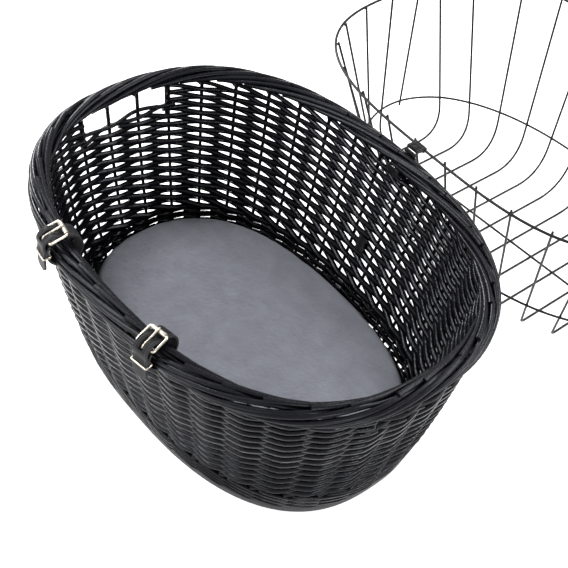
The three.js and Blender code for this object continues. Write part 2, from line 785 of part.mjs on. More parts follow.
// A hoop's straight sides, by its place counted from the middle
function hoopSides(place) {
  const side = Math.sign(place);
  const rank = Math.abs(place);
  const outer = Math.round(rank - 0.5) - evenHoopsPerSide;
  const even = outer < 0;
  const rimX = even ? rank * rimPitch : dome.halfLength * endHoopNearShares[outer];
  const farX = even ? rank * farPitch : dome.halfLength * endHoopFarShares[outer];
  const crownX = rank * crownPitch;
  const ringX = (x) => THREE.MathUtils.lerp(x, crownX, dome.ringDepth / domeDepth);
  const mirrored = (points) => points.map(([x, u, w]) => [side * x, u, w]);
  return {
    near: mirrored(sidePoints(rimX, ringX(rimX), -1)),
    far: mirrored(sidePoints(farX, ringX(farX), 1)),
  };
}

// A wire that goes down one side, bends, crosses the crown and goes up the other side
function hoopGeometry(sides, bends, crownDepth) {
  const tail = -(dome.rimWireRadius + dome.tail);
  const [start, first] = [tail, crownDepth].map((w) => domePoint(...atDepth(...sides[0], w)));
  const [end, second] = [tail, crownDepth].map((w) => domePoint(...atDepth(...sides[1], w)));
  return wireThrough([
    start,
    ...roundedCorner(start, first, second, bends[0], bendSteps),
    ...roundedCorner(first, second, end, bends[1], bendSteps),
    end,
  ], dome.wireRadius);
}

const places = Array.from({ length: hoopsPerSide * 2 }, (_, i) => i - hoopsPerSide + 0.5);
const hoops = places.map(hoopSides);

// A wire down an end of the dome, by its distance from the spine at the rim and at the ring
function endSide(end, rimOffset, ringOffset) {
  const drift = (x) => dome.halfWidth + dome.spineShift + end * x * spineDriftShare;
  const rimU = drift(dome.halfLength) + rimOffset;
  const ringU = drift(ringHalfLength) + ringOffset;
  const rimX = ovalReach(
    dome.halfWidth, dome.halfLength, domeRoundnessShare, rimU - dome.halfWidth,
  ) - rimInset;
  const ringX = ovalReach(
    ringHalfWidth, ringHalfLength, ringRoundnessShare, ringU - ringMiddle,
  ) - weldGap;
  return [[end * rimX, rimU, 0], [end * ringX, ringU, dome.ringDepth]];
}

function ribGeometry(side) {
  const from = atDepth(...side, -(dome.rimWireRadius + dome.tail));
  const to = atDepth(...side, dome.ringDepth + dome.wireRadius + dome.ribTail);
  return rod(domePoint(...from), domePoint(...to), dome.wireRadius, wireSides);
}

const spine = [-1, 1].map((end) => endSide(end, 0, 0));
const ribs = [-1, 1].flatMap((end) => (
  [-1, 1].map((step) => endSide(end, step * dome.endRibPitch, step * dome.endRibLowPitch))
));

// The ring lies just outside all of these wires
function ringGeometry() {
  const crossings = [...hoops.flatMap(({ near, far }) => [near, far]), ...spine, ...ribs]
    .map(([, low]) => low);
  const turn = ([x, u]) => Math.atan2(u - ringMiddle, x);
  crossings.sort((a, b) => turn(a) - turn(b));
  const count = crossings.length;
  const moved = crossings.map((p, i) => {
    const before = crossings[(i + count - 1) % count];
    const after = crossings[(i + 1) % count];
    const out = new THREE.Vector2(after[1] - before[1], before[0] - after[0]).setLength(weldGap);
    return domePoint(p[0] + out.x, p[1] + out.y, dome.ringDepth);
  });
  const curve = new THREE.CatmullRomCurve3(moved, true, 'centripetal');
  const points = curve.getPoints(count * ringStepsPerGap).slice(0, -1);
  return wireThrough(points, dome.wireRadius, { closed: true });
}

const rimPath = ovalRing(dome.halfLength, dome.halfWidth, domeRoundnessShare, 0)
  .map((p) => domePoint(p.x, dome.halfWidth + p.y, p.z));
addPiece('dome_rim_wire', wireThrough(
  rimPath, dome.rimWireRadius, { closed: true, sides: rodSides },
), finish.wire);
addPiece('dome_ring', ringGeometry(), finish.wire);
addPiece('dome_spine', hoopGeometry(
  spine, [dome.spineBend, dome.spineBend], domeDepth - weldGap,
), finish.wire);
hoops.forEach(({ near, far }, i) => {
  addPiece(`dome_hoop_${String(i + 1).padStart(2, '0')}`, hoopGeometry(
    [near, far], [dome.nearBend, dome.farBend], domeDepth,
  ), finish.wire);
});
ribs.forEach((rib, i) => addPiece(`dome_end_rib_${i + 1}`, ribGeometry(rib), finish.wire));

export default part;
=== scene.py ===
import math

import bpy
import numpy as np
from mathutils import Matrix, Vector


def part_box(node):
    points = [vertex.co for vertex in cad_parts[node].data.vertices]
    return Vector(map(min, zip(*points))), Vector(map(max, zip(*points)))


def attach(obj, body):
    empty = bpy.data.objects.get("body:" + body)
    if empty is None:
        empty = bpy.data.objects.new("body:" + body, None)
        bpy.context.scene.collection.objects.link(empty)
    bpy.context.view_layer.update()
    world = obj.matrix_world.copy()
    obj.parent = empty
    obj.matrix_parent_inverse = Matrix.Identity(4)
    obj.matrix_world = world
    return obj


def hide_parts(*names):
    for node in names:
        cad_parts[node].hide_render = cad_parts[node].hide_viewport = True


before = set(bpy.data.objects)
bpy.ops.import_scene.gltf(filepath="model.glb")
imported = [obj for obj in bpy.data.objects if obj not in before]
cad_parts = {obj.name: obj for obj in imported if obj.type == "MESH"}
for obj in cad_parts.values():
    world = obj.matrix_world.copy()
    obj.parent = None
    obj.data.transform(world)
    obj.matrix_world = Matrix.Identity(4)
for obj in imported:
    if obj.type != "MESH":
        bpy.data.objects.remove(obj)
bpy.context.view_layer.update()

# Base board: one oval of 10 mm wood, painted black all over, with its edges rounded over.
# It is the floor of the basket, and the stakes stand in it, near its rim.

MM = 0.001
# Half length, half width and fullness, in millimetres as all sizes are
BOARD_OVAL = (230, 156, 2.5)
BOARD_POINTS = 144
BOARD_THICKNESS = 10
BOARD_ROUNDING = 2.2


def even_turns(count):
    """That many angles, evenly round a circle"""
    return np.arange(count) / count * 2 * math.pi


def oval_ring(half_length, half_width, fullness, turns):
    """Points on an oval: a fullness of 2 makes an ellipse, and more gives it fuller corners"""
    c, s = np.cos(turns), np.sin(turns)
    stretch = (abs(c) ** fullness + abs(s) ** fullness) ** (-1 / fullness)
    return np.stack([half_length * c * stretch, half_width * s * stretch], axis=-1)


def take_only(piece):
    """Leaves one piece selected and active"""
    bpy.ops.object.select_all(action="DESELECT")
    piece.select_set(True)
    bpy.context.view_layer.objects.active = piece


def edit_all(piece):
    """Opens a piece in edit mode with all of it selected"""
    take_only(piece)
    bpy.ops.object.mode_set(mode="EDIT")
    bpy.ops.mesh.select_all(action="SELECT")


def add_primitive(name, operator, location=(0, 0, 0), **values):
    """A new piece from one of Blender's primitives, with nothing else selected"""
    bpy.ops.object.select_all(action="DESELECT")
    operator(location=location, **values)
    piece = bpy.context.object
    piece.name = name
    return piece


def add_oval(name, oval, points, height):
    """A flat oval face at a height"""
    face = add_primitive(
        name, bpy.ops.mesh.primitive_circle_add, vertices=points, radius=1, fill_type="NGON")
    for vertex, (x, y) in zip(face.data.vertices, oval_ring(*oval, even_turns(points))):
        vertex.co = (x * MM, y * MM, height * MM)
    return face


def apply_modifier(piece, name, kind, **values):
    """Adds one modifier to a piece and applies it"""
    take_only(piece)
    modifier = piece.modifiers.new(name, kind)
    for setting, value in values.items():
        setattr(modifier, setting, value)
    bpy.ops.object.modifier_apply(modifier=modifier.name)


def round_edges(piece, name, width, segments, angle=60):
    """Rounds each edge at which the surface turns by more than an angle"""
    apply_modifier(piece, name, "BEVEL", width=width * MM, segments=segments,
                   limit_method="ANGLE", angle_limit=math.radians(angle))


def finish_piece(piece, finish, body="basket", stands_for=(), smooth=70):
    """Applies its place, turns its faces outwards, and gives it its material and its body"""
    take_only(piece)
    bpy.ops.object.transform_apply(location=True, rotation=True, scale=True)
    edit_all(piece)
    bpy.ops.mesh.remove_doubles(threshold=0.002 * MM)
    bpy.ops.mesh.normals_make_consistent(inside=False)
    bpy.ops.object.mode_set(mode="OBJECT")
    bpy.ops.object.shade_smooth_by_angle(angle=math.radians(smooth))
    piece.data.materials.clear()
    piece.data.materials.append(finish)
    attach(piece, body)
    if stands_for:
        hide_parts(*stands_for)


def new_finish(name, values):
    """A material with constants on its shader, and its node tree to build on"""
    finish = bpy.data.materials.new(name)
    finish.use_nodes = True
    shader = finish.node_tree.nodes["Principled BSDF"]
    for socket, value in values.items():
        shader.inputs[socket].default_value = value
    return finish, finish.node_tree, shader


def add_node(tree, kind, inputs, **settings):
    """A shader node whose inputs each follow another node's socket or hold a value"""
    node = tree.nodes.new(f"ShaderNode{kind}")
    for setting, value in settings.items():
        setattr(node, setting, value)
    for name, value in inputs.items():
        if isinstance(value, bpy.types.NodeSocket):
            tree.links.new(value, node.inputs[name])
        else:
            node.inputs[name].default_value = value
    return node


def spread_out(tree, value, low, high, course="LINEAR"):
    """Goes from 0 to 1 while a value goes from low to high"""
    spread = add_node(tree, "MapRange", {"Value": value, "From Min": low, "From Max": high},
                      interpolation_type=course)
    return spread.outputs["Result"]


def grain_group():
    """Shared effect: fine grain and broad mottle of a painted or coated surface"""
    group = bpy.data.node_groups.new("paint grain", "ShaderNodeTree")
    for name, kind in (("Vector", "Vector"), ("Fine Scale", "Float"), ("Broad Scale", "Float")):
        group.interface.new_socket(name, in_out="INPUT", socket_type=f"NodeSocket{kind}")
    for name in ("Grain", "Mottle"):
        group.interface.new_socket(name, in_out="OUTPUT", socket_type="NodeSocketFloat")
    start, end = group.nodes.new("NodeGroupInput"), group.nodes.new("NodeGroupOutput")
    for scale, result, detail in (("Fine Scale", "Grain", 6), ("Broad Scale", "Mottle", 3)):
        noise = add_node(group, "TexNoise", {
            "Vector": start.outputs["Vector"], "Scale": start.outputs[scale],
            "Detail": detail, "Roughness": 0.62})
        spread = spread_out(group, noise.outputs["Fac"], 0.32, 0.68)
        group.links.new(spread, end.inputs[result])
    return group


paint_grain = grain_group()


def add_grain(tree, vector, fine, broad):
    """Places the shared grain in a material, and gives back its grain and its mottle"""
    grain = add_node(tree, "Group", {"Vector": vector, "Fine Scale": fine, "Broad Scale": broad},
                     node_tree=paint_grain)
    return grain.outputs["Grain"], grain.outputs["Mottle"]


def object_place(tree):
    """The place on the object itself, in metres"""
    return add_node(tree, "TexCoord", {}).outputs["Object"]


def drawn_out(tree, vector, along):
    """That place with its first axis scaled, so that a pattern runs along it"""
    return add_node(tree, "Mapping", {"Vector": vector, "Scale": (along, 1, 1)}).outputs["Vector"]


def mix_colours(tree, share, low, high, shader=None, blend="MIX"):
    """Mixes two colours, each written out or another mix, and may colour the surface with them"""
    low, high = ((*colour, 1) if isinstance(colour, tuple) else colour for colour in (low, high))
    mix = add_node(tree, "Mix", {"A": low, "B": high, "Factor": share},
                   data_type="RGBA", blend_type=blend)
    if shader:
        tree.links.new(mix.outputs["Result"], shader.inputs["Base Color"])
    return mix.outputs["Result"]


def set_roughness(tree, share, low, high, shader):
    """Makes the surface vary between two roughnesses"""
    spread = add_node(tree, "MapRange", {"Value": share, "To Min": low, "To Max": high})
    tree.links.new(spread.outputs["Result"], shader.inputs["Roughness"])


def add_bump(tree, height, distance, shader, strength=1.0, before=None):
    """Raises the surface by up to a distance in millimetres, on top of the bump before it"""
    bump = add_node(tree, "Bump", {"Height": height, "Distance": distance * MM, "Strength": strength})
    if before:
        tree.links.new(before, bump.inputs["Normal"])
    tree.links.new(bump.outputs["Normal"], shader.inputs["Normal"])
    return bump.outputs["Normal"]


board_paint, tree, shader = new_finish("board paint", {})
grain, mottle = add_grain(tree, drawn_out(tree, object_place(tree), 0.12), 420, 30)
mix_colours(tree, mottle, (0.009, 0.009, 0.011), (0.02, 0.02, 0.024), shader)
set_roughness(tree, grain, 0.3, 0.48, shader)
add_bump(tree, grain, 0.2, shader)

board = add_oval("painted_base_board", BOARD_OVAL, BOARD_POINTS, 0)
edit_all(board)
bpy.ops.mesh.extrude_region_move(TRANSFORM_OT_translate={"value": (0, 0, BOARD_THICKNESS * MM)})
bpy.ops.object.mode_set(mode="OBJECT")
round_edges(board, "rounded edges", BOARD_ROUNDING, 4)
finish_piece(board, board_paint, stands_for=["base_board"], smooth=35)

# Stakes: 36 thin black willow rods that stand in the board and lean outwards with the wall.
# They carry all of the weaving, and four of them stand free in the two hand holes.

STAKES = 36
STAKE_ROD = 2.1
STAKE_FOOT, STAKE_TOP, STAKE_STEP = 7, 218, 15
# From the height of the hand holes up, the stakes are a little thicker
THICKER_FROM, THICKER_BY = 180, 0.3
WALL_HEIGHT = 223
WALL_FOOT = (222, 148, 2.5)
WALL_TOP = (265, 200, 2.4)
WALL_BULGE = 4
RING_POINTS = 1441
LEVEL_STEP = 8
level_rings = {}


def wall_oval(z):
    """The plan of the middle of the wall at a height"""
    share = z / WALL_HEIGHT
    bulge = WALL_BULGE * (1 - (2 * share - 1) ** 2)
    length, width, fullness = (foot + (top - foot) * share for foot, top in zip(WALL_FOOT, WALL_TOP))
    return length + bulge, width + bulge, fullness


def level_ring(z):
    """That plan as points, and how far round each one is, from the left end"""
    if z not in level_rings:
        ring = oval_ring(*wall_oval(z), np.linspace(-math.pi, math.pi, RING_POINTS))
        run = np.concatenate([[0], np.cumsum(np.hypot(*np.diff(ring, axis=0).T))])
        level_rings[z] = (run / run[-1], ring)
    return level_rings[z]


def on_wall(share, z, out=0.0, up=0.0):
    """The place at a share of the way round the wall and a height, so far outside its middle"""
    low = math.floor(z / LEVEL_STEP) * LEVEL_STEP
    beside = 0.001
    found = []
    for level in (low, low + LEVEL_STEP):
        shares, ring = level_ring(level)
        before, here, after = (
            np.array([np.interp((share + step) % 1, shares, ring[:, i]) for i in (0, 1)])
            for step in (-beside, 0, beside)
        )
        along = after - before
        found.append(here + out * np.array([along[1], -along[0]]) / np.hypot(*along))
    part = (z - low) / LEVEL_STEP
    x, y = found[0] * (1 - part) + found[1] * part
    return (x, y, z + up)


def make_rods(name, runs, sides, closed=False):
    """One mesh of round rods. Each run is a list of (point, radius), in millimetres"""
    rods = add_primitive(name, bpy.ops.curve.primitive_nurbs_path_add)
    curve = rods.data
    curve.splines.clear()
    curve.dimensions = "3D"
    curve.bevel_depth = MM
    curve.bevel_resolution = sides // 2 - 2
    curve.use_fill_caps = True
    for run in runs:
        spline = curve.splines.new("POLY")
        spline.points.add(len(run) - 1)
        spline.use_cyclic_u = closed
        for point, (place, radius) in zip(spline.points, run):
            point.co = (place[0] * MM, place[1] * MM, place[2] * MM, 1)
            point.radius = radius
    take_only(rods)
    bpy.ops.object.convert(target="MESH")
    return bpy.context.object


def willow_finish(name, along_rod, dark, light, rough, relief):
    """Black painted willow: fine streaks along each rod, broad mottle, and paler cut ends"""
    finish, tree, shader = new_finish(name, {
        "Specular IOR Level": 0.145, "Specular Tint": (0.9, 0.92, 1, 1)})
    rod_map = add_node(tree, "UVMap", {}, uv_map="UVMap").outputs["UV"]
    _, streaks = add_grain(tree, drawn_out(tree, rod_map, along_rod), 9, 2.5)
    _, blotches = add_grain(tree, object_place(tree), 900, 26)
    bark = mix_colours(tree, blotches, dark, light)
    cut = add_node(tree, "Attribute", {}, attribute_name="cut_end")
    mix_colours(tree, cut.outputs["Fac"], bark, (0.085, 0.085, 0.092), shader)
    set_roughness(tree, streaks, *rough, shader)
    add_bump(tree, streaks, relief, shader)
    return finish


woven_willow = willow_finish(
    "woven willow", 60, (0.001, 0.001, 0.0014), (0.004, 0.004, 0.0056), (0.12, 0.25), 0.25)
stake_runs = [
    [(on_wall((k + 0.5) / STAKES, z), STAKE_ROD + THICKER_BY * (z > THICKER_FROM))
     for z in range(STAKE_FOOT, STAKE_TOP, STAKE_STEP)]
    for k in range(STAKES)]
stakes = make_rods("stakes", stake_runs, 8)
finish_piece(stakes, woven_willow, stands_for=[
    f"hand_hole_stake_{side}_{spot}" for side in ("left", "right") for spot in ("near", "far")])

# Wale: three rounds of three willow rods, woven round the foot of the stakes above the board.
# Each rod passes outside two stakes and inside the third, which gives the slanting strokes.

WALE_ROD = 2.45
WALE_RISE = 4.7
WALE_ROWS = (16.9, 26.0, 35.1)
WALE_STEPS = 6


def smooth_step(value):
    """0 to 1 with a slow start and end, and level outside"""
    value = min(max(value, 0), 1)
    return value * value * (3 - 2 * value)


def wale_stroke(phase):
    """Where a wale rod is after a phase of 0 to 3 stakes, as (outwards share, height share)"""
    phase = phase % 3
    if phase > 2.5:
        phase -= 3
    out = min(1 - 2 * smooth_step((phase - 1.25) / 0.75), 2 * smooth_step((phase + 0.95) / 0.7) - 1)
    if phase < 1.5:
        return out, 0.5 - (phase + 0.5) / 2
    return out, -0.5 + smooth_step(phase - 1.5)


wale_runs = []
for row in WALE_ROWS:
    for rod in range(3):
        run = []
        for step in range(STAKES * WALE_STEPS):
            turn = step / WALE_STEPS
            out, rise = wale_stroke(turn - rod)
            place = on_wall((turn + 0.5) / STAKES, row, out * (WALE_ROD + STAKE_ROD), rise * 2 * WALE_RISE)
            run.append((place, WALE_ROD))
        wale_runs.append(run)
wale = make_rods("wale_rods", wale_runs, 6, closed=True)
finish_piece(wale, woven_willow, stands_for=["foot_border"])

# Wall: 36 long tapering willow rods, one started behind each stake. Every rod climbs half a
# row at each stake and passes in turn inside and outside, up to the border. Beside the hand
# holes the rods turn back round the edge stake, and under them they end at the sill.

WEAVE_START, WEAVE_TOP = 44, 213
# A rod climbs a little less at each stake, because it gets thinner
CLIMB, CLIMB_LOSS = 7.4, 0.043
ROD_SHARE = 0.56
# The rods at the right end are thicker
RIGHT_END, RIGHT_END_THICKER = 180, 0.11
WEAVE_REACH = 3.6
STRAIGHTNESS = 0.9
WEAVE_STEPS, STEPS_BELOW_START = 6, 4
HOLE_SILL = 179.5
# Stake pitches from the middle of a hand hole to its edge stakes
HOLE_PITCHES = 1.5
LOOP_BULGE, LOOP_THINNER, STAKE_PITCH = 1.6, 0.85, 41.5
FRONT_STRAPS = {"left": -84, "right": 84}
HINGE_X = 10.0
PRESSED_WIDTH, PRESSED_FADE, PRESSED_DEPTH = 11, 15, 7.9
leather_places = [(x, -1) for x in FRONT_STRAPS.values()] + [(HINGE_X, 1)]


def weave_height(d):
    """How high a rod is after it has passed so many stakes"""
    return WEAVE_START + CLIMB * d - CLIMB_LOSS * d * d


def weave_radius(d):
    return ROD_SHARE * (CLIMB - 2 * CLIMB_LOSS * d)


def weave_out(d):
    """Inside at even stakes and outside at odd ones, nearly straight in between"""
    return -WEAVE_REACH * math.asin(STRAIGHTNESS * math.cos(math.pi * d)) / math.asin(STRAIGHTNESS)


def pressed_height(x, y, z):
    """Rods lie lower where a strap goes round the border"""
    for middle_x, side in leather_places:
        beside = abs(x - middle_x)
        if y * side > 0 and beside < PRESSED_WIDTH + PRESSED_FADE:
            near = 1 - smooth_step((beside - PRESSED_WIDTH) / PRESSED_FADE)
            z = min(z, WEAVE_TOP - PRESSED_DEPTH * near)
    return z


def weave_point(stake, d):
    """A point of a rod that has passed so many stakes, with the rod's radius there"""
    share = (stake + 0.5) / STAKES
    z = min(weave_height(d), WEAVE_TOP)
    x, y, _ = on_wall(share, z)
    thicker = 1 + RIGHT_END_THICKER * smooth_step(x / RIGHT_END)
    return (on_wall(share, pressed_height(x, y, z), weave_out(d)), weave_radius(d) * thicker)


def sill_rise(place):
    """The real sills are not level: one end is a little higher"""
    return -place * (3.4 if place < 0 else 0.5) / HOLE_PITCHES


def turn_round(stake, d, side):
    """The loop from the rod outside a hole's edge stake to the next one up, inside it"""
    points = []
    for i in range(1, WEAVE_STEPS):
        a = math.pi * i / WEAVE_STEPS
        shift = side * (math.sin(a) * LOOP_BULGE) / STAKE_PITCH
        z = weave_height(d) + (weave_height(d + 1) - weave_height(d)) * i / WEAVE_STEPS
        if z > WEAVE_TOP:
            break
        points.append((on_wall((stake + 0.5 + shift) / STAKES, z, math.cos(a) * WEAVE_REACH),
                       weave_radius(d) * LOOP_THINNER))
    return points


def weave_rod(start):
    """The runs of the rod that starts behind one stake: the hand holes interrupt it"""
    runs, run = [], []
    steps = -STEPS_BELOW_START
    while weave_height(steps / WEAVE_STEPS) < WEAVE_TOP:
        d = steps / WEAVE_STEPS
        stake = start + d
        # The place from the middle of the nearer hand hole, in stake pitches
        offset = (stake + 0.5 + STAKES / 4) % (STAKES / 2) - STAKES / 4
        at_edge = abs(abs(offset) - HOLE_PITCHES) < 1e-6
        over_hole = at_edge or abs(offset) < HOLE_PITCHES
        turns_back = at_edge and round(d) % 2 == 1
        if not over_hole or weave_height(d) <= HOLE_SILL + sill_rise(offset):
            run.append(weave_point(stake, d))
        elif at_edge and offset > 0:
            run = turn_round(stake, d, -1)[::-1] if turns_back else []
            run.append(weave_point(stake, d))
        else:
            if at_edge and run:
                run.append(weave_point(stake, d))
                if turns_back:
                    run += turn_round(stake, d, 1)
            runs.append(run)
            run = []
        steps += 1
    return [run for run in runs + [run] if len(run) > 1]


weave_runs = [run for start in range(STAKES) for run in weave_rod(start)]
weave = make_rods("wall_weave", weave_runs, 6)
finish_piece(weave, woven_willow, stands_for=["wicker_wall_left", "wicker_wall_right"])

# Hand-hole sills: under each hole two willow rods are woven through its stakes, one behind
# and one in front, with their ends tucked in behind the edge stakes. A short upright rod
# beside each edge stake closes the edge of the hole.

SILL_ROD = 2.55
SILL_ROWS = (182.6, 187.0)
SILL_HALF_STEPS, STEPS_PER_PITCH = 20, 12
SILL_CROWN, CROWN_PITCHES = 0.7, 1.9
UPRIGHT_ROD, UPRIGHT_FOOT, UPRIGHT_TOPS = 2.6, 172, (213, 211)
UPRIGHT_INSET, UPRIGHT_OUT = 0.055, 0.6
for side, middle in (("left", 0), ("right", STAKES / 2)):
    sill_runs = []
    for phase, height in enumerate(SILL_ROWS):
        run = []
        for step in range(-SILL_HALF_STEPS, SILL_HALF_STEPS + 1):
            place = step / STEPS_PER_PITCH
            out = math.cos(math.pi * (place + 0.5 + phase)) * WEAVE_REACH
            crown = SILL_CROWN * math.cos(place / CROWN_PITCHES * math.pi / 2) - SILL_CROWN
            z = height + (crown + sill_rise(place))
            run.append((on_wall((middle + place) / STAKES, z, -out), SILL_ROD))
        sill_runs.append(run)
    for place, top in zip((-HOLE_PITCHES, HOLE_PITCHES), UPRIGHT_TOPS):
        inwards = -math.copysign(UPRIGHT_INSET, place)
        foot = UPRIGHT_FOOT + sill_rise(place)
        sill_runs.append([
            (on_wall((middle + place + inwards) / STAKES, foot + (top - foot) * i / 4, UPRIGHT_OUT),
             UPRIGHT_ROD) for i in range(5)])
    sill = make_rods(f"hand_hole_sill_rods_{side}", sill_runs, 8)
    finish_piece(sill, woven_willow, stands_for=[f"hand_hole_sill_{side}"])

# Rolled border: the stakes' tops are bent over and laid round the rim in a slanting roll,
# and 36 more rods are pushed in along the top, whose cut ends show.

# Angles are in degrees and runs in stake pitches
BORDER_SLANT = 32
BORDER_REACH = 10.0
BORDER_ROD = 2.95
RISING_START, RISING_ANGLE, RISING_POINTS, RISING_STEP = 0.6, -68, 36, 0.24
SINK_FROM, SINK_OVER, SINK_DEPTH, SINK_THINNER = 4.3, 0.9, 5.6, 0.5
PUSHED_START, PUSHED_ANGLE, PUSHED_POINTS, PUSHED_STEP = 5.85, 84, 16, 0.22
FALL_FROM, FALL_OVER, FALL_DEPTH = 2.4, 0.9, 3
PUSHED_THICKER, PUSHED_TAPER = 0.2, 0.14
CUT_END_LIFT, FAR_SIDE_LESS, SETTLED_AFTER, LIFT_OVER = 2.2, 1.6, 1.2, 1.1
border_willow = willow_finish(
    "border willow", 14, (0.002, 0.002, 0.0027), (0.0065, 0.0065, 0.0088), (0.22, 0.34), 0.09)


def on_border(place, angle, reach):
    """Round the border: angle 0 faces outwards and 90 up"""
    a = math.radians(angle)
    return on_wall(place / STAKES, WALL_HEIGHT, math.cos(a) * reach, math.sin(a) * reach)


def rising_rod(k, tilt, swell):
    """The top of a stake, bent over into the roll, whose end sinks in among the others"""
    run = [(on_wall((k + 0.5) / STAKES, 207), STAKE_ROD), (on_wall((k + 0.51) / STAKES, 211, 1), 2.3)]
    for i in range(RISING_POINTS):
        pitches = i * RISING_STEP
        sink = smooth_step((pitches - SINK_FROM) / SINK_OVER)
        settled = smooth_step(pitches / SETTLED_AFTER)
        angle = RISING_ANGLE + tilt * settled + BORDER_SLANT * pitches
        run.append((on_border(k + RISING_START + pitches, angle, BORDER_REACH - SINK_DEPTH * sink),
                    BORDER_ROD + swell * settled - SINK_THINNER * sink))
    return run


def pushed_rod(k, tilt, swell, slip):
    """A rod pushed in along the top. Its cut end stands out, least at the far side, where
    the closed dome's wires come close"""
    start = k + PUSHED_START
    far_side = smooth_step(math.sin(start / STAKES * 2 * math.pi - math.pi) * 3 + 0.5)
    most = CUT_END_LIFT - FAR_SIDE_LESS * far_side + 2 * swell
    run = []
    for i in range(PUSHED_POINTS):
        pitches = i * PUSHED_STEP
        lift = most * (1 - smooth_step(pitches / LIFT_OVER))
        fall = FALL_DEPTH * smooth_step((pitches - FALL_FROM) / FALL_OVER)
        angle = PUSHED_ANGLE - tilt + BORDER_SLANT * pitches
        run.append((on_border(start + slip + pitches, angle, BORDER_REACH + lift - fall),
                    BORDER_ROD + PUSHED_THICKER + swell - PUSHED_TAPER * pitches))
    return run


border_runs = []
for k in range(STAKES):
    # No two rods lie quite alike
    tilt, swell, slip = 6 * math.sin(k * 2.4), 0.22 * math.sin(k * 4.1 + 1), 0.16 * math.sin(k * 3.3 + 2)
    border_runs += [rising_rod(k, tilt, swell), pushed_rod(k, tilt, swell, slip)]
border = make_rods("border_rods", border_runs, 8)
finish_piece(border, border_willow, stands_for=["rolled_border"])
cut_end = border.data.attributes.new("cut_end", "FLOAT", "FACE")
for face in border.data.polygons:
    cut_end.data[face.index].value = float(len(face.vertices) > 4)

# Cushion: a loose oval mat of grey-blue short plush over soft filling, flat underneath and
# slightly crowned. It lies on the board and fills the basket from wall to wall.

plush, tree, shader = new_finish("grey-blue plush", {
    "Roughness": 0.95, "Sheen Weight": 0.5, "Sheen Roughness": 0.55, "Specular IOR Level": 0.15,
    "Sheen Tint": (0.75, 0.78, 0.85, 1)})
place = object_place(tree)
nap, shading = add_grain(tree, place, 1500, 38)
lay, _ = add_grain(tree, place, 160, 9)
tones = mix_colours(tree, shading, (0.205, 0.21, 0.245), (0.27, 0.277, 0.32))
fleck = mix_colours(tree, nap, (0.7, 0.7, 0.72), (1, 1, 1))
mix_colours(tree, 0.45, tones, fleck, shader, blend="MULTIPLY")
pile = add_bump(tree, nap, 0.9, shader, 0.8)
add_bump(tree, lay, 1.2, shader, 0.5, before=pile)

CUSHION_OVAL = (211, 138, 2.4)
CUSHION_POINTS = 96
CUSHION_BOTTOM, CUSHION_LOWEST = 10.8, 10.4
CLOTH_CELL = 5
CLOTH_FRAMES = 20
MOST_SWELL = 3
cushion = add_oval("plush_cushion", CUSHION_OVAL, CUSHION_POINTS, CUSHION_BOTTOM)
edit_all(cushion)
# The side goes up in rings that bulge out, and the top is drawn in ring by ring to its crown
for rise, grow in ((3, 1.016), (12, 1.014), (12, 1.004), (5, 0.99), (2.6, 0.965), (1.2, 0.85), (0.8, 0.5)):
    bpy.ops.mesh.extrude_region_move(TRANSFORM_OT_translate={"value": (0, 0, rise * MM)})
    bpy.ops.transform.resize(value=(grow, grow, 1), center_override=(0, 0, 0))
bpy.ops.mesh.select_all(action="SELECT")
bpy.ops.mesh.normals_make_consistent(inside=False)
bpy.ops.object.mode_set(mode="OBJECT")
apply_modifier(cushion, "even mesh", "REMESH", mode="VOXEL", voxel_size=CLOTH_CELL * MM)
before = [vertex.co.copy() for vertex in cushion.data.vertices]
filling = cushion.modifiers.new("filling", "CLOTH")
filling.settings.quality = 5
filling.settings.use_pressure = True
filling.settings.uniform_pressure_force = 4
filling.settings.effector_weights.gravity = 0
filling.point_cache.frame_start, filling.point_cache.frame_end = 1, CLOTH_FRAMES
for number in range(1, CLOTH_FRAMES + 1):
    bpy.context.scene.frame_set(number)
take_only(cushion)
bpy.ops.object.modifier_apply(modifier=filling.name)
bpy.context.scene.frame_set(1)
for vertex, old in zip(cushion.data.vertices, before):
    move = vertex.co - old
    if move.length > MOST_SWELL * MM:
        move.length = MOST_SWELL * MM
    vertex.co = old + move
    # It lies flat on the board
    vertex.co.z = max(vertex.co.z, CUSHION_LOWEST * MM)
apply_modifier(cushion, "even out", "SMOOTH", factor=0.5, iterations=6)
apply_modifier(cushion, "rounder", "SUBSURF", levels=1, render_levels=1)
finish_piece(cushion, plush, stands_for=["cushion"], smooth=80)

# Front straps: two 18 mm strips of black leather. Each starts at its buckle, goes loosely
# round the border and through the wall, and comes back over the heel bar as the tongue.

STRAP_WIDTH = 18.0
STRAP_LEATHER = 2.5
STRAP_HEIGHT = 227.7
STRAP_TIP = 7
STRAP_STEP = 1.1
FIRST_LAYER, SECOND_LAYER, OVER_HEEL = 19.25, 22.05, 26.9
HEEL = (16.86, 16.86)
ROLLER = (-2.04, 23.31)
# Half its width, between which angles it lies, and how far out: only the outer layer has it
PRONG_SLOT = (1.9, 36, 77, 20.6)
STRAP_COLUMNS = (-1, -0.86, -0.73, -0.5, -0.27, 0, 0.27, 0.5, 0.73, 0.86, 1)
WORN_EDGE, EDGE_ROUNDING = 0.9, 0.45
LINE_INSET, STITCH = 2.4, 1.7
FAR_FROM_EDGE = 99


def add_math(tree, operation, *terms):
    """The result of a sum with sockets and numbers"""
    return add_node(tree, "Math", dict(enumerate(terms)), operation=operation).outputs["Value"]


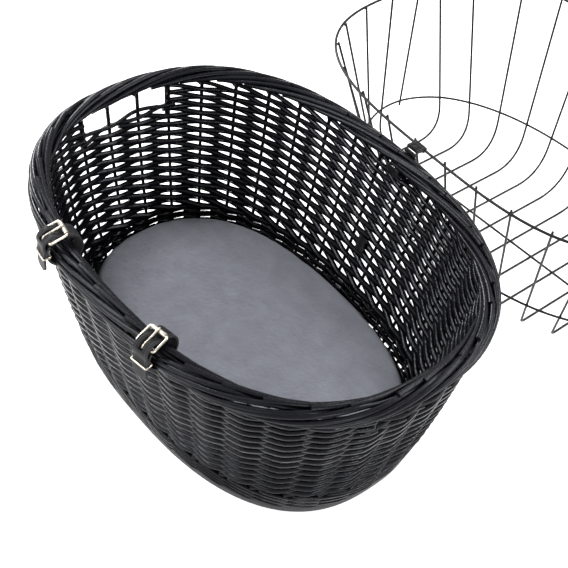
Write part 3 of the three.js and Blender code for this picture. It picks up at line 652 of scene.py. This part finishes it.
black_leather, tree, shader = new_finish("black leather", {"Specular IOR Level": 0.12})
place = object_place(tree)
hide, mottle = add_grain(tree, place, 700, 60)
pores = add_node(tree, "TexVoronoi", {"Vector": place, "Scale": 1100}, feature="DISTANCE_TO_EDGE")
from_edge, along = (add_node(tree, "Attribute", {}, attribute_name=name).outputs["Fac"]
                    for name in ("edge", "along"))
worn = spread_out(tree, from_edge, WORN_EDGE, 0)
tones = mix_colours(tree, mottle, (0.004, 0.004, 0.0045), (0.009, 0.009, 0.01))
rubbed = mix_colours(tree, worn, tones, (0.035, 0.035, 0.038))
set_roughness(tree, hide, 0.36, 0.55, shader)
skin = add_bump(tree, pores.outputs["Distance"], 0.12, shader, 0.7)
# A line is pressed in along the edge, with stitches in it
from_line = add_math(tree, "ABSOLUTE", add_math(tree, "SUBTRACT", from_edge, LINE_INSET))
groove = spread_out(tree, from_line, 0.15, 0.7, "SMOOTHSTEP")
mix_colours(tree, groove, (0.03, 0.03, 0.033), rubbed, shader)
pressed = add_bump(tree, groove, 0.35, shader, before=skin)
thread = spread_out(tree, add_math(tree, "PINGPONG", along, STITCH), 0.25, 0.55, "SMOOTHSTEP")
on_line = spread_out(tree, from_line, 0.45, 0.2, "SMOOTHSTEP")
add_bump(tree, add_math(tree, "MULTIPLY", thread, on_line), 0.4, shader, before=pressed)


def on_circle(radius, degrees, centre=(0, 0)):
    a = math.radians(degrees)
    return (centre[0] + radius * math.cos(a), centre[1] + radius * math.sin(a))


def even_path(corners, spacing):
    """A smooth path through corners, as points at an even spacing, and its length"""
    corners = [np.array(p, float) for p in corners]
    fine = []
    for i in range(len(corners) - 1):
        p0, p1, p2, p3 = (corners[min(max(i + j, 0), len(corners) - 1)] for j in (-1, 0, 1, 2))
        for t in np.arange(0, 1, 0.05):
            fine.append(0.5 * (2 * p1 + (p2 - p0) * t + (2 * p0 - 5 * p1 + 4 * p2 - p3) * t * t
                               + (3 * p1 - p0 - 3 * p2 + p3) * t ** 3))
    fine.append(corners[-1])
    fine = np.array(fine)
    run = np.concatenate([[0], np.cumsum(np.linalg.norm(np.diff(fine, axis=0), axis=1))])
    marks = np.linspace(0, run[-1], max(round(run[-1] / spacing), 2) + 1)
    return np.stack([np.interp(marks, run, values) for values in fine.T], axis=-1), run[-1]


def make_strip(name, corners, spacing, width, thickness, columns, tip=0.0, slot=None):
    """A leather strip along corners (y, z), from a grid bent to them and thickened"""
    path, length = even_path(corners, spacing)
    rows = len(path) - 1
    strip = add_primitive(name, bpy.ops.mesh.primitive_grid_add,
                          x_subdivisions=len(columns) - 1, y_subdivisions=rows, size=1)
    mesh = strip.data
    edge, along = (mesh.attributes.new(name, "FLOAT", "POINT") for name in ("edge", "along"))
    for vertex in mesh.vertices:
        column = columns[round((vertex.co.x + 0.5) * (len(columns) - 1))]
        row = round((vertex.co.y + 0.5) * rows)
        left = length * (1 - row / rows)
        half = width / 2
        if left < tip:
            half -= tip * (1 - math.sqrt(max(1 - (1 - left / tip) ** 2, 0)))
        x = column * half
        edge.data[vertex.index].value = min(half - abs(x), left if tip else FAR_FROM_EDGE)
        along.data[vertex.index].value = length * row / rows
        vertex.co = (x * MM, path[row][0] * MM, path[row][1] * MM)
    if slot:
        half_slot, from_angle, to_angle, outside = slot
        edit_all(strip)
        bpy.ops.mesh.select_all(action="DESELECT")
        bpy.ops.object.mode_set(mode="OBJECT")
        for face in mesh.polygons:
            y, z = face.center.y / MM, face.center.z / MM
            angle = math.degrees(math.atan2(z, y))
            face.select = (abs(face.center.x) < half_slot * MM and from_angle < angle < to_angle
                           and math.hypot(y, z) > outside)
        bpy.ops.object.mode_set(mode="EDIT")
        bpy.ops.mesh.select_mode(type="FACE")
        bpy.ops.mesh.delete(type="FACE")
        bpy.ops.object.mode_set(mode="OBJECT")
    apply_modifier(strip, "thickness", "SOLIDIFY", thickness=thickness * MM, offset=0)
    round_edges(strip, "worn edges", EDGE_ROUNDING, 2, 50)
    return strip


def oval_reach(half_length, half_width, fullness, x):
    """How far out an oval is at a place along it"""
    return half_width * (1 - abs(x / half_length) ** fullness) ** (1 / fullness)


def border_reach(x):
    return oval_reach(*WALL_TOP, x)


def strap_place(x):
    """Where a front strap's own frame lies: its profile is drawn outwards and upwards"""
    beside = 0.1
    turn = math.atan(-(border_reach(x + beside) - border_reach(x - beside)) / (2 * beside)) + math.pi
    return (Matrix.Translation(Vector((x, -border_reach(x), STRAP_HEIGHT)) * MM)
            @ Matrix.Rotation(turn, 4, "Z"))


strap_corners = [on_circle(FIRST_LAYER, a) for a in range(33, -253, -12)]
strap_corners += [on_circle(radius, angle) for radius, angle in (
    (FIRST_LAYER, 95), (FIRST_LAYER, 84), (OVER_HEEL - 1.6, 62), (OVER_HEEL, 53), (OVER_HEEL, 45),
    (OVER_HEEL, 36), (OVER_HEEL - 1.8, 26), (SECOND_LAYER, 12), (SECOND_LAYER, 0))]
strap_corners += [(SECOND_LAYER, -8), (SECOND_LAYER - 0.1, -16), (SECOND_LAYER - 0.3, -24)]
strap_frames = {side: strap_place(x) for side, x in FRONT_STRAPS.items()}
for side, frame_there in strap_frames.items():
    strap = make_strip(f"front_strap_leather_{side}", strap_corners, STRAP_STEP, STRAP_WIDTH,
                       STRAP_LEATHER, STRAP_COLUMNS, STRAP_TIP, PRONG_SLOT)
    strap.matrix_world = frame_there
    finish_piece(strap, black_leather, stands_for=[f"front_strap_{side}"], smooth=40)

# Strap keepers: a loop of thin nickel-plated wire round both layers of each strap, below its
# buckle. It holds the tongue down.

KEEPER_WIRE, KEEPER_PLAY = 1.0, 1.3
KEEPER_HEIGHT, KEEPER_INSIDE, KEEPER_CORNER = -3, 1.6, 1.4
nickel, tree, shader = new_finish("warm nickel", {"Metallic": 1.0})
scratches, wear = add_grain(tree, drawn_out(tree, object_place(tree), 0.2), 1600, 140)
mix_colours(tree, wear, (0.36, 0.33, 0.275), (0.53, 0.49, 0.42), shader)
set_roughness(tree, scratches, 0.2, 0.36, shader)
add_bump(tree, scratches, 0.02, shader)


def on_bend(low, corner, high, steps):
    """Points on the curve from low to high that a corner draws out"""
    shares = [i / steps for i in range(steps + 1)]
    return [low * (1 - t) ** 2 + corner * 2 * t * (1 - t) + high * t * t for t in shares]


def round_corner(before, corner, after, reach, steps):
    """A corner rounded off, from so far before it to so far after it"""
    return on_bend(corner + (before - corner).normalized() * reach, corner,
                   corner + (after - corner).normalized() * reach, steps)


def wire_loop(name, corners, reach, radius, sides):
    """A closed loop of wire with round corners"""
    corners = [Vector(corner) for corner in corners]
    points = []
    for i, corner in enumerate(corners):
        points += round_corner(corners[i - 1], corner, corners[(i + 1) % len(corners)], reach, 5)
    return make_rods(name, [[(point, radius) for point in points]], sides, closed=True)


for side, frame_there in strap_frames.items():
    half = STRAP_WIDTH / 2 + KEEPER_PLAY
    inner = math.sqrt((FIRST_LAYER - STRAP_LEATHER / 2) ** 2 - 4 ** 2) - KEEPER_INSIDE
    outer = SECOND_LAYER + STRAP_LEATHER / 2 + KEEPER_PLAY
    keeper = wire_loop(
        f"keeper_wire_{side}",
        [(x, y, KEEPER_HEIGHT) for x, y in ((-half, inner), (half, inner), (half, outer), (-half, outer))],
        KEEPER_CORNER, KEEPER_WIRE, 10)
    keeper.matrix_world = frame_there
    finish_piece(keeper, nickel, stands_for=[f"strap_keeper_{side}"])

# Buckles: a bent wire frame whose inner bar carries a loose roller, and a prong that is
# bent round the heel bar and rests on the roller. All are nickel-plated steel.

BUCKLE_WIRE, BUCKLE_PLAY, BUCKLE_CORNER = 1.5, 2.5, 3.0
ROLLER_RADIUS, ROLLER_WALL, ROLLER_ROUNDING = 2.15, 0.9, 0.25
PRONG_WIRE, PRONG_TIP_RADII = 1.2, (0.75, 1.1)
PRONG_EYE, PRONG_OVER_ROLLER, PRONG_PAST_ROLLER = 2.9, 4.0, 2.0
for side, frame_there in strap_frames.items():
    half = STRAP_WIDTH / 2 + BUCKLE_PLAY
    wire = wire_loop(
        f"buckle_wire_{side}", [(-half, *HEEL), (half, *HEEL), (half, *ROLLER), (-half, *ROLLER)],
        BUCKLE_CORNER, BUCKLE_WIRE, 12)
    wire.matrix_world = frame_there
    finish_piece(wire, nickel, stands_for=[f"buckle_frame_{side}"])

    roller = add_primitive(
        f"roller_tube_{side}", bpy.ops.mesh.primitive_cylinder_add,
        (0, ROLLER[0] * MM, ROLLER[1] * MM), rotation=(0, math.pi / 2, 0),
        vertices=40, radius=ROLLER_RADIUS * MM, depth=STRAP_WIDTH * MM, end_fill_type="NOTHING")
    apply_modifier(roller, "wall", "SOLIDIFY", thickness=ROLLER_WALL * MM, offset=0)
    round_edges(roller, "lips", ROLLER_ROUNDING, 3)
    bpy.ops.object.transform_apply(location=True, rotation=True, scale=True)
    roller.matrix_world = frame_there
    finish_piece(roller, nickel, f"roller_{side}", [f"buckle_roller_{side}"], 35)

    heel = Vector(HEEL)
    along = (Vector(ROLLER) - heel).normalized()
    out = Vector((along.y, -along.x))
    tip = Vector(ROLLER) + out * PRONG_OVER_ROLLER + along * PRONG_PAST_ROLLER
    first = math.degrees(math.atan2(out.y, out.x))
    prong = [tip.lerp(heel + out * PRONG_EYE, i / 8) for i in range(8)]
    prong += [heel + Vector(on_circle(PRONG_EYE, first - turn)) for turn in range(0, 296, 20)]
    radii = PRONG_TIP_RADII + (PRONG_WIRE,) * (len(prong) - len(PRONG_TIP_RADII))
    hook = make_rods(f"prong_wire_{side}", [[((0, *p), radius) for p, radius in zip(prong, radii)]], 12)
    hook.matrix_world = frame_there
    finish_piece(hook, nickel, f"prong_{side}", [f"buckle_prong_{side}"])

# Dome hinge: a strip of black leather wrapped round the border, and a flap folded round the
# dome's rim wire and riveted shut. On the real hinge the leather between them bends as the dome swings;
# here it is drawn in one shape.

HINGE_WIDTH, HINGE_LEATHER, HINGE_REACH = 18, 1.8, 14.6
HINGE_COLUMNS = (-1, -0.8, -0.5, 0, 0.5, 0.8, 1)
# The bending line, and from it to the dome's rim wire, outwards and upwards
AXIS = (212.8, 238.8)
AXIS_TO_WIRE = (12.7, -1.4)
hinge_corners = [(AXIS[0], AXIS[1] - 2.5)]
hinge_corners += [on_circle(HINGE_REACH, a, (border_reach(HINGE_X), WALL_HEIGHT))
                  for a in range(40, -196, -12)]
hinge = make_strip("hinge_leather", hinge_corners, 1.2, HINGE_WIDTH, HINGE_LEATHER, HINGE_COLUMNS)
hinge.location.x = HINGE_X * MM
finish_piece(hinge, black_leather, stands_for=["hinge_strap"], smooth=40)

FLAP_LENGTH = math.hypot(*AXIS_TO_WIRE)
FLAP_LEATHER, FLAP_LAYER, FLAP_LOOP = HINGE_LEATHER - 0.05, 0.92, 2.95
flap_side = [(0.4, -FLAP_LAYER), (4, -FLAP_LAYER), (7.6, -FLAP_LAYER)]
flap_corners = flap_side + [on_circle(FLAP_LOOP, a, (FLAP_LENGTH, 0)) for a in range(-150, 151, 20)]
flap_corners += [(y, -z) for y, z in reversed(flap_side)]
flap_frame = (Matrix.Translation(Vector((HINGE_X, *AXIS)) * MM)
              @ Matrix.Rotation(math.atan2(AXIS_TO_WIRE[1], AXIS_TO_WIRE[0]), 4, "X"))
flap = make_strip("flap_leather", flap_corners, 0.7, HINGE_WIDTH, FLAP_LEATHER, HINGE_COLUMNS)
flap.matrix_world = flap_frame
finish_piece(flap, black_leather, "flap", ["hinge_flap"], 40)

RIVET_RADIUS, RIVET_LENGTH, RIVET_ROUNDING, RIVET_SHARE = 2.4, 6, 0.85, 0.36
dull_rivet, tree, shader = new_finish("dull rivet", {"Metallic": 1.0})
scratches, wear = add_grain(tree, object_place(tree), 1400, 300)
mix_colours(tree, wear, (0.02, 0.02, 0.021), (0.06, 0.058, 0.055), shader)
set_roughness(tree, scratches, 0.4, 0.6, shader)
rivet = add_primitive(
    "flap_rivet", bpy.ops.mesh.primitive_cylinder_add, (0, RIVET_SHARE * FLAP_LENGTH * MM, 0),
    vertices=32, radius=RIVET_RADIUS * MM, depth=RIVET_LENGTH * MM)
round_edges(rivet, "domed heads", RIVET_ROUNDING, 4)
bpy.ops.object.transform_apply(location=True, rotation=True, scale=True)
rivet.matrix_world = flap_frame
finish_piece(rivet, dull_rivet, "flap", ["hinge_rivet"], 35)

# Leash tab: a short strip of black leather, folded double at its lower end. It is sewn to
# the inside of the far wall by its upper end.

TAB_WIDTH, TAB_LEATHER, TAB_LAYER = 12, 1.3, 0.72
TAB_FORWARD = 1.2
# Where the wall is measured for the tab's lean: how far round it, and at which heights
TAB_SHARE, TAB_LOW, TAB_HIGH = 0.747, 94, 114
low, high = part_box("leash_tab")
tab_lean = math.atan2(on_wall(TAB_SHARE, TAB_HIGH)[1] - on_wall(TAB_SHARE, TAB_LOW)[1], TAB_HIGH - TAB_LOW)
tab_side = [(TAB_LAYER, 9.8), (TAB_LAYER, 3), (TAB_LAYER, -6), (0.6, -9)]
tab_corners = tab_side + [(0, -9.8)] + [(-y, z) for y, z in reversed(tab_side)]
tab = make_strip("leash_tab_leather", tab_corners, 0.8, TAB_WIDTH, TAB_LEATHER, HINGE_COLUMNS)
tab.matrix_world = (Matrix.Translation((low + high) / 2 - Vector((0, TAB_FORWARD * MM, 0)))
                    @ Matrix.Rotation(-tab_lean, 4, "X"))
finish_piece(tab, black_leather, stands_for=["leash_tab"], smooth=40)

# Dome: a cage of steel wires, 3.5 mm round the rim and 3 mm elsewhere, welded and coated
# black. It has twelve hoops across it, a spine along it, end ribs, and a ring round them.

DOME_OVAL = DOME_LENGTH, DOME_WIDTH, DOME_FULLNESS = 262, 199, 3.1
RIM_WIRE, CAGE_WIRE, COATING = 1.75, 1.4, 0.15
WIRE_AND_COATING = CAGE_WIRE + COATING
RIM_INSET, WELD_GAP = RIM_WIRE + CAGE_WIRE + 0.3, CAGE_WIRE * 2 + 0.3
RING_LENGTH, RING_WIDTH, RING_FULLNESS, RING_DEPTH = 245, 152, 2.1, 181
RING_MIDDLE = DOME_WIDTH + 10
# The hoops lie further apart at the far side of the rim, and closer at the crown
RIM_PITCH, FAR_PITCH, CROWN_PITCH = (DOME_LENGTH * share for share in (0.1916, 0.2073, 0.1412))
# Where the two outermost hoops at each end meet the rim, as shares of its half length
NEAR_END_SHARES, FAR_END_SHARES = (0.83, 0.933), (0.92, 0.985)
HOOPS, INNER_HOOPS = 12, 8
NEAR_BEND, FAR_BEND, SPINE_BEND = 8, 46, 36
END_LEAN_SHARE = 0.055
RIB_RIM_OFFSET, RIB_RING_OFFSET, RIB_PAST_RING = 50, 38, 3
# At rest one of the two middle hoops lies right beside the hinge's flap
FLAP_TO_HOOP = 10.9
DOME_PLACE = (HINGE_X + RIM_PITCH / 2 - FLAP_TO_HOOP, 225.5, 237.4)
DOME_DEPTH = DOME_PLACE[2] - CAGE_WIRE
TAIL = -(RIM_WIRE + 1)
RING_STEP = 8

coated_wire, tree, shader = new_finish("coated wire", {"Specular IOR Level": 0.2})
grain, mottle = add_grain(tree, object_place(tree), 900, 55)
mix_colours(tree, mottle, (0.003, 0.003, 0.0033), (0.008, 0.008, 0.0085), shader)
set_roughness(tree, grain, 0.34, 0.52, shader)
add_bump(tree, grain, 0.06, shader)


def dome_point(x, u, w):
    """A place from the middle of the rim at the hinge: along it, away from it and down"""
    return (DOME_PLACE[0] + x, DOME_PLACE[1] + u, DOME_PLACE[2] - w)


def hoop_side(rim_x, crown_x, direction):
    """Where a hoop's straight side meets the rim and the ring"""
    ring_x = rim_x + (crown_x - rim_x) * RING_DEPTH / DOME_DEPTH
    rim_u = oval_reach(*DOME_OVAL, rim_x) - RIM_INSET
    ring_u = oval_reach(RING_LENGTH - WELD_GAP, RING_WIDTH - WELD_GAP, RING_FULLNESS, ring_x)
    return ((rim_x * (1 - RIM_INSET / DOME_LENGTH), DOME_WIDTH + direction * rim_u, 0),
            (ring_x, RING_MIDDLE + direction * ring_u, RING_DEPTH))


def end_side(end, rim_offset=0, ring_offset=0):
    """The same for a wire at an end of the dome, by its distance from the spine"""
    middle = DOME_WIDTH - 1
    rim_u = middle + end * DOME_LENGTH * END_LEAN_SHARE + rim_offset
    ring_u = middle + end * RING_LENGTH * END_LEAN_SHARE + ring_offset
    rim_x = oval_reach(DOME_WIDTH, DOME_LENGTH, DOME_FULLNESS, rim_u - DOME_WIDTH) - RIM_INSET
    ring_x = oval_reach(RING_WIDTH, RING_LENGTH, RING_FULLNESS, ring_u - RING_MIDDLE) - WELD_GAP
    return ((end * rim_x, rim_u, 0), (end * ring_x, ring_u, RING_DEPTH))


def at_depth(side, w):
    """The place at a depth on a wire's straight side"""
    top, low = (Vector(p) for p in side)
    return top + (low - top) * (w / RING_DEPTH)


def bent_wire(sides, bends, depth):
    """Down one side, round a bend, across the crown and up the other side"""
    (start, first), (end, second) = ([at_depth(side, w) for w in (TAIL, depth)] for side in sides)
    points = [start, start.lerp(first, 0.5)]
    for before, corner, after, bend in ((start, first, second, bends[0]), (first, second, end, bends[1])):
        points += round_corner(before, corner, after, bend, 6 if bend == NEAR_BEND else 14)
    points += [second.lerp(end, 0.5), end]
    return [(dome_point(*p), WIRE_AND_COATING) for p in points]


def finish_wire(name, run, node, sides=8, closed=False):
    """One wire of the dome, which stands for a node"""
    wire = make_rods(name, [run], sides, closed)
    finish_piece(wire, coated_wire, "dome", [node])


rim_ring = oval_ring(*DOME_OVAL, even_turns(180))
rim_run = [(dome_point(x, DOME_WIDTH + y, 0), RIM_WIRE) for x, y in rim_ring]
finish_wire("rim_wire", rim_run, "dome_rim_wire", 12, closed=True)

hoop_sides = []
for number in range(HOOPS):
    rank = number - (HOOPS - 1) / 2
    end, rank = math.copysign(1, rank), abs(rank)
    if rank < INNER_HOOPS / 2:
        near_x, far_x = rank * RIM_PITCH, rank * FAR_PITCH
    else:
        near_x, far_x = (DOME_LENGTH * shares[round(rank - INNER_HOOPS / 2 - 0.5)]
                         for shares in (NEAR_END_SHARES, FAR_END_SHARES))
    hoop_sides.append([
        [(end * x, u, w) for x, u, w in hoop_side(rim_x, rank * CROWN_PITCH, direction)]
        for rim_x, direction in ((near_x, -1), (far_x, 1))])
    finish_wire(f"hoop_wire_{number + 1:02d}",
                bent_wire(hoop_sides[-1], (NEAR_BEND, FAR_BEND), DOME_DEPTH - COATING),
                f"dome_hoop_{number + 1:02d}")

spine_sides = [end_side(end) for end in (-1, 1)]
spine_run = bent_wire(spine_sides, (SPINE_BEND, SPINE_BEND), DOME_DEPTH - WELD_GAP)
finish_wire("spine_wire", spine_run, "dome_spine")

rib_sides = [end_side(end, step * RIB_RIM_OFFSET, step * RIB_RING_OFFSET)
             for end in (-1, 1) for step in (-1, 1)]
for number, side in enumerate(rib_sides, 1):
    top, low = (at_depth(side, w) for w in (TAIL, RING_DEPTH + CAGE_WIRE + RIB_PAST_RING))
    rib_run = [(dome_point(*top.lerp(low, i / 6)), WIRE_AND_COATING) for i in range(7)]
    finish_wire(f"end_rib_wire_{number}", rib_run, f"dome_end_rib_{number}")

# The ring lies just outside all of these wires
cage_sides = [side for sides in hoop_sides for side in sides] + spine_sides + rib_sides
crossings = sorted((side[1] for side in cage_sides), key=lambda p: math.atan2(p[1] - RING_MIDDLE, p[0]))
ring_marks = []
for i, (x, u, w) in enumerate(crossings):
    before, after = crossings[i - 1], crossings[(i + 1) % len(crossings)]
    out = Vector((after[1] - before[1], before[0] - after[0])).normalized() * WELD_GAP
    ring_marks.append(Vector(dome_point(x + out.x, u + out.y, RING_DEPTH)))
ring_run = []
for i, here in enumerate(ring_marks):
    before, after, later = (ring_marks[(i + j) % len(ring_marks)] for j in (-1, 1, 2))
    # Tangents that allow for marks at uneven distances
    gaps = [(here - before).length, (after - here).length, (later - after).length]
    slopes = [(here - before) / gaps[0], (after - here) / gaps[1], (later - after) / gaps[2]]
    leave = (slopes[0] * gaps[1] + slopes[1] * gaps[0]) / (gaps[0] + gaps[1])
    arrive = (slopes[1] * gaps[2] + slopes[2] * gaps[1]) / (gaps[1] + gaps[2])
    steps = max(round(gaps[1] / RING_STEP), 2)
    for j in range(steps):
        t = j / steps
        point = (here * (2 * t ** 3 - 3 * t * t + 1) + leave * gaps[1] * (t ** 3 - 2 * t * t + t)
                 + after * (3 * t * t - 2 * t ** 3) + arrive * gaps[1] * (t ** 3 - t * t))
        ring_run.append((point, WIRE_AND_COATING))
finish_wire("ring_wire", ring_run, "dome_ring", closed=True)

# Welds: a small bead of steel wherever a wire meets the rim or the ring, under the coating.
# They are all one shape, pressed a little flat, and ride with the dome.

BEAD, BEAD_WIDER, BEAD_FLATTER = 1.75, 1.05, 0.85
beads = []
for side in cage_sides:
    top, low = Vector(side[0]), Vector(side[1])
    at_rim = Vector((top.x / DOME_LENGTH, (top.y - DOME_WIDTH) / DOME_WIDTH, 0)).normalized()
    at_ring = Vector((low.x / RING_LENGTH, (low.y - RING_MIDDLE) / RING_WIDTH, 0)).normalized()
    for weld in (top + at_rim * (CAGE_WIRE + 0.1), low + at_ring * WELD_GAP / 2):
        place = Vector(dome_point(*weld)) * MM
        bead = add_primitive(
            "weld", bpy.ops.mesh.primitive_ico_sphere_add, place, subdivisions=2, radius=BEAD * MM)
        edit_all(bead)
        bpy.ops.transform.resize(value=(BEAD_WIDER, BEAD_WIDER, BEAD_FLATTER), center_override=place)
        bpy.ops.object.mode_set(mode="OBJECT")
        beads.append(bead)
take_only(beads[0])
for bead in beads:
    bead.select_set(True)
bpy.ops.object.join()
beads[0].name = "dome_welds"
finish_piece(beads[0], coated_wire, "dome")

# Studio: a wide white floor, a soft white room and seven soft lamps, with the camera where
# the photograph was taken from.

FLOOR_SIZE, FLOOR_DROP = 14, 0.0005
FLOOR_GLOW, ROOM_LIGHT, ROOM_GLOW = 0.64, 0.26, 0.74


def seen_directly(tree, amount):
    """That amount for camera, glossy and transmission rays, and 0 for all others"""
    rays = add_node(tree, "LightPath", {}).outputs
    seen = add_math(tree, "MAXIMUM", rays["Is Camera Ray"], rays["Is Glossy Ray"])
    seen = add_math(tree, "MAXIMUM", seen, rays["Is Transmission Ray"])
    return add_math(tree, "MULTIPLY", seen, amount)


floor_paper, tree, shader = new_finish("floor paper", {
    "Roughness": 0.9, "Specular IOR Level": 0.1, "Emission Color": (1, 1, 1, 1)})
_, mottle = add_grain(tree, object_place(tree), 300, 1.5)
mix_colours(tree, mottle, (0.8, 0.8, 0.8), (0.81, 0.81, 0.81), shader)
tree.links.new(seen_directly(tree, FLOOR_GLOW), shader.inputs["Emission Strength"])
floor = add_primitive("floor", bpy.ops.mesh.primitive_plane_add, (0, 0, -FLOOR_DROP), size=FLOOR_SIZE)
floor.data.materials.append(floor_paper)

world = bpy.data.worlds.new("room")
bpy.context.scene.world = world
world.use_nodes = True
tree = world.node_tree
background = tree.nodes["Background"]
background.inputs["Color"].default_value = (1, 1, 1, 1)
room = add_math(tree, "ADD", seen_directly(tree, ROOM_GLOW), ROOM_LIGHT)
tree.links.new(room, background.inputs["Strength"])

LIT_POINT = Vector((0, 0.1, 0.1))
for name, place, size, power in (
    ("key lamp", (-0.95, -0.45, 1.75), 0.5, 23),
    ("back lamp", (0.1, 1.15, 1.75), 0.5, 18),
    ("back right lamp", (1.2, 1.05, 1.05), 0.5, 16),
    ("left lamp", (-1.7, 0.35, 1.05), 0.45, 32),
    ("front left lamp", (-0.95, -1.25, 1.1), 0.6, 20),
    ("front lamp", (-0.25, -1.8, 0.85), 0.9, 10),
    ("right lamp", (1.9, -0.6, 0.7), 0.5, 14),
):
    lamp = bpy.data.lights.new(name, "AREA")
    lamp.shape = "SQUARE"
    lamp.size = size
    lamp.energy = power
    lamp_object = bpy.data.objects.new(name, lamp)
    bpy.context.scene.collection.objects.link(lamp_object)
    lamp_object.location = place
    lamp_object.rotation_euler = (LIT_POINT - Vector(place)).to_track_quat("-Z", "Y").to_euler()

CAMERA_PLACE = (0.6978, -0.6581, 1.1307)
# Its own axes: to the right of the picture, up it, and back towards the photographer
CAMERA_AXES = ((0.64, 0.75906, 0.11931), (-0.60555, 0.40267, 0.68641), (0.47298, -0.51155, 0.71736))
camera = add_primitive("camera", bpy.ops.object.camera_add, CAMERA_PLACE)
camera.data.sensor_width = 36
camera.data.lens = 77.76
camera.data.shift_x = -0.05
camera.rotation_euler = Matrix(CAMERA_AXES).transposed().to_euler()
bpy.context.scene.camera = camera
bpy.context.scene.view_settings.view_transform = "Standard"
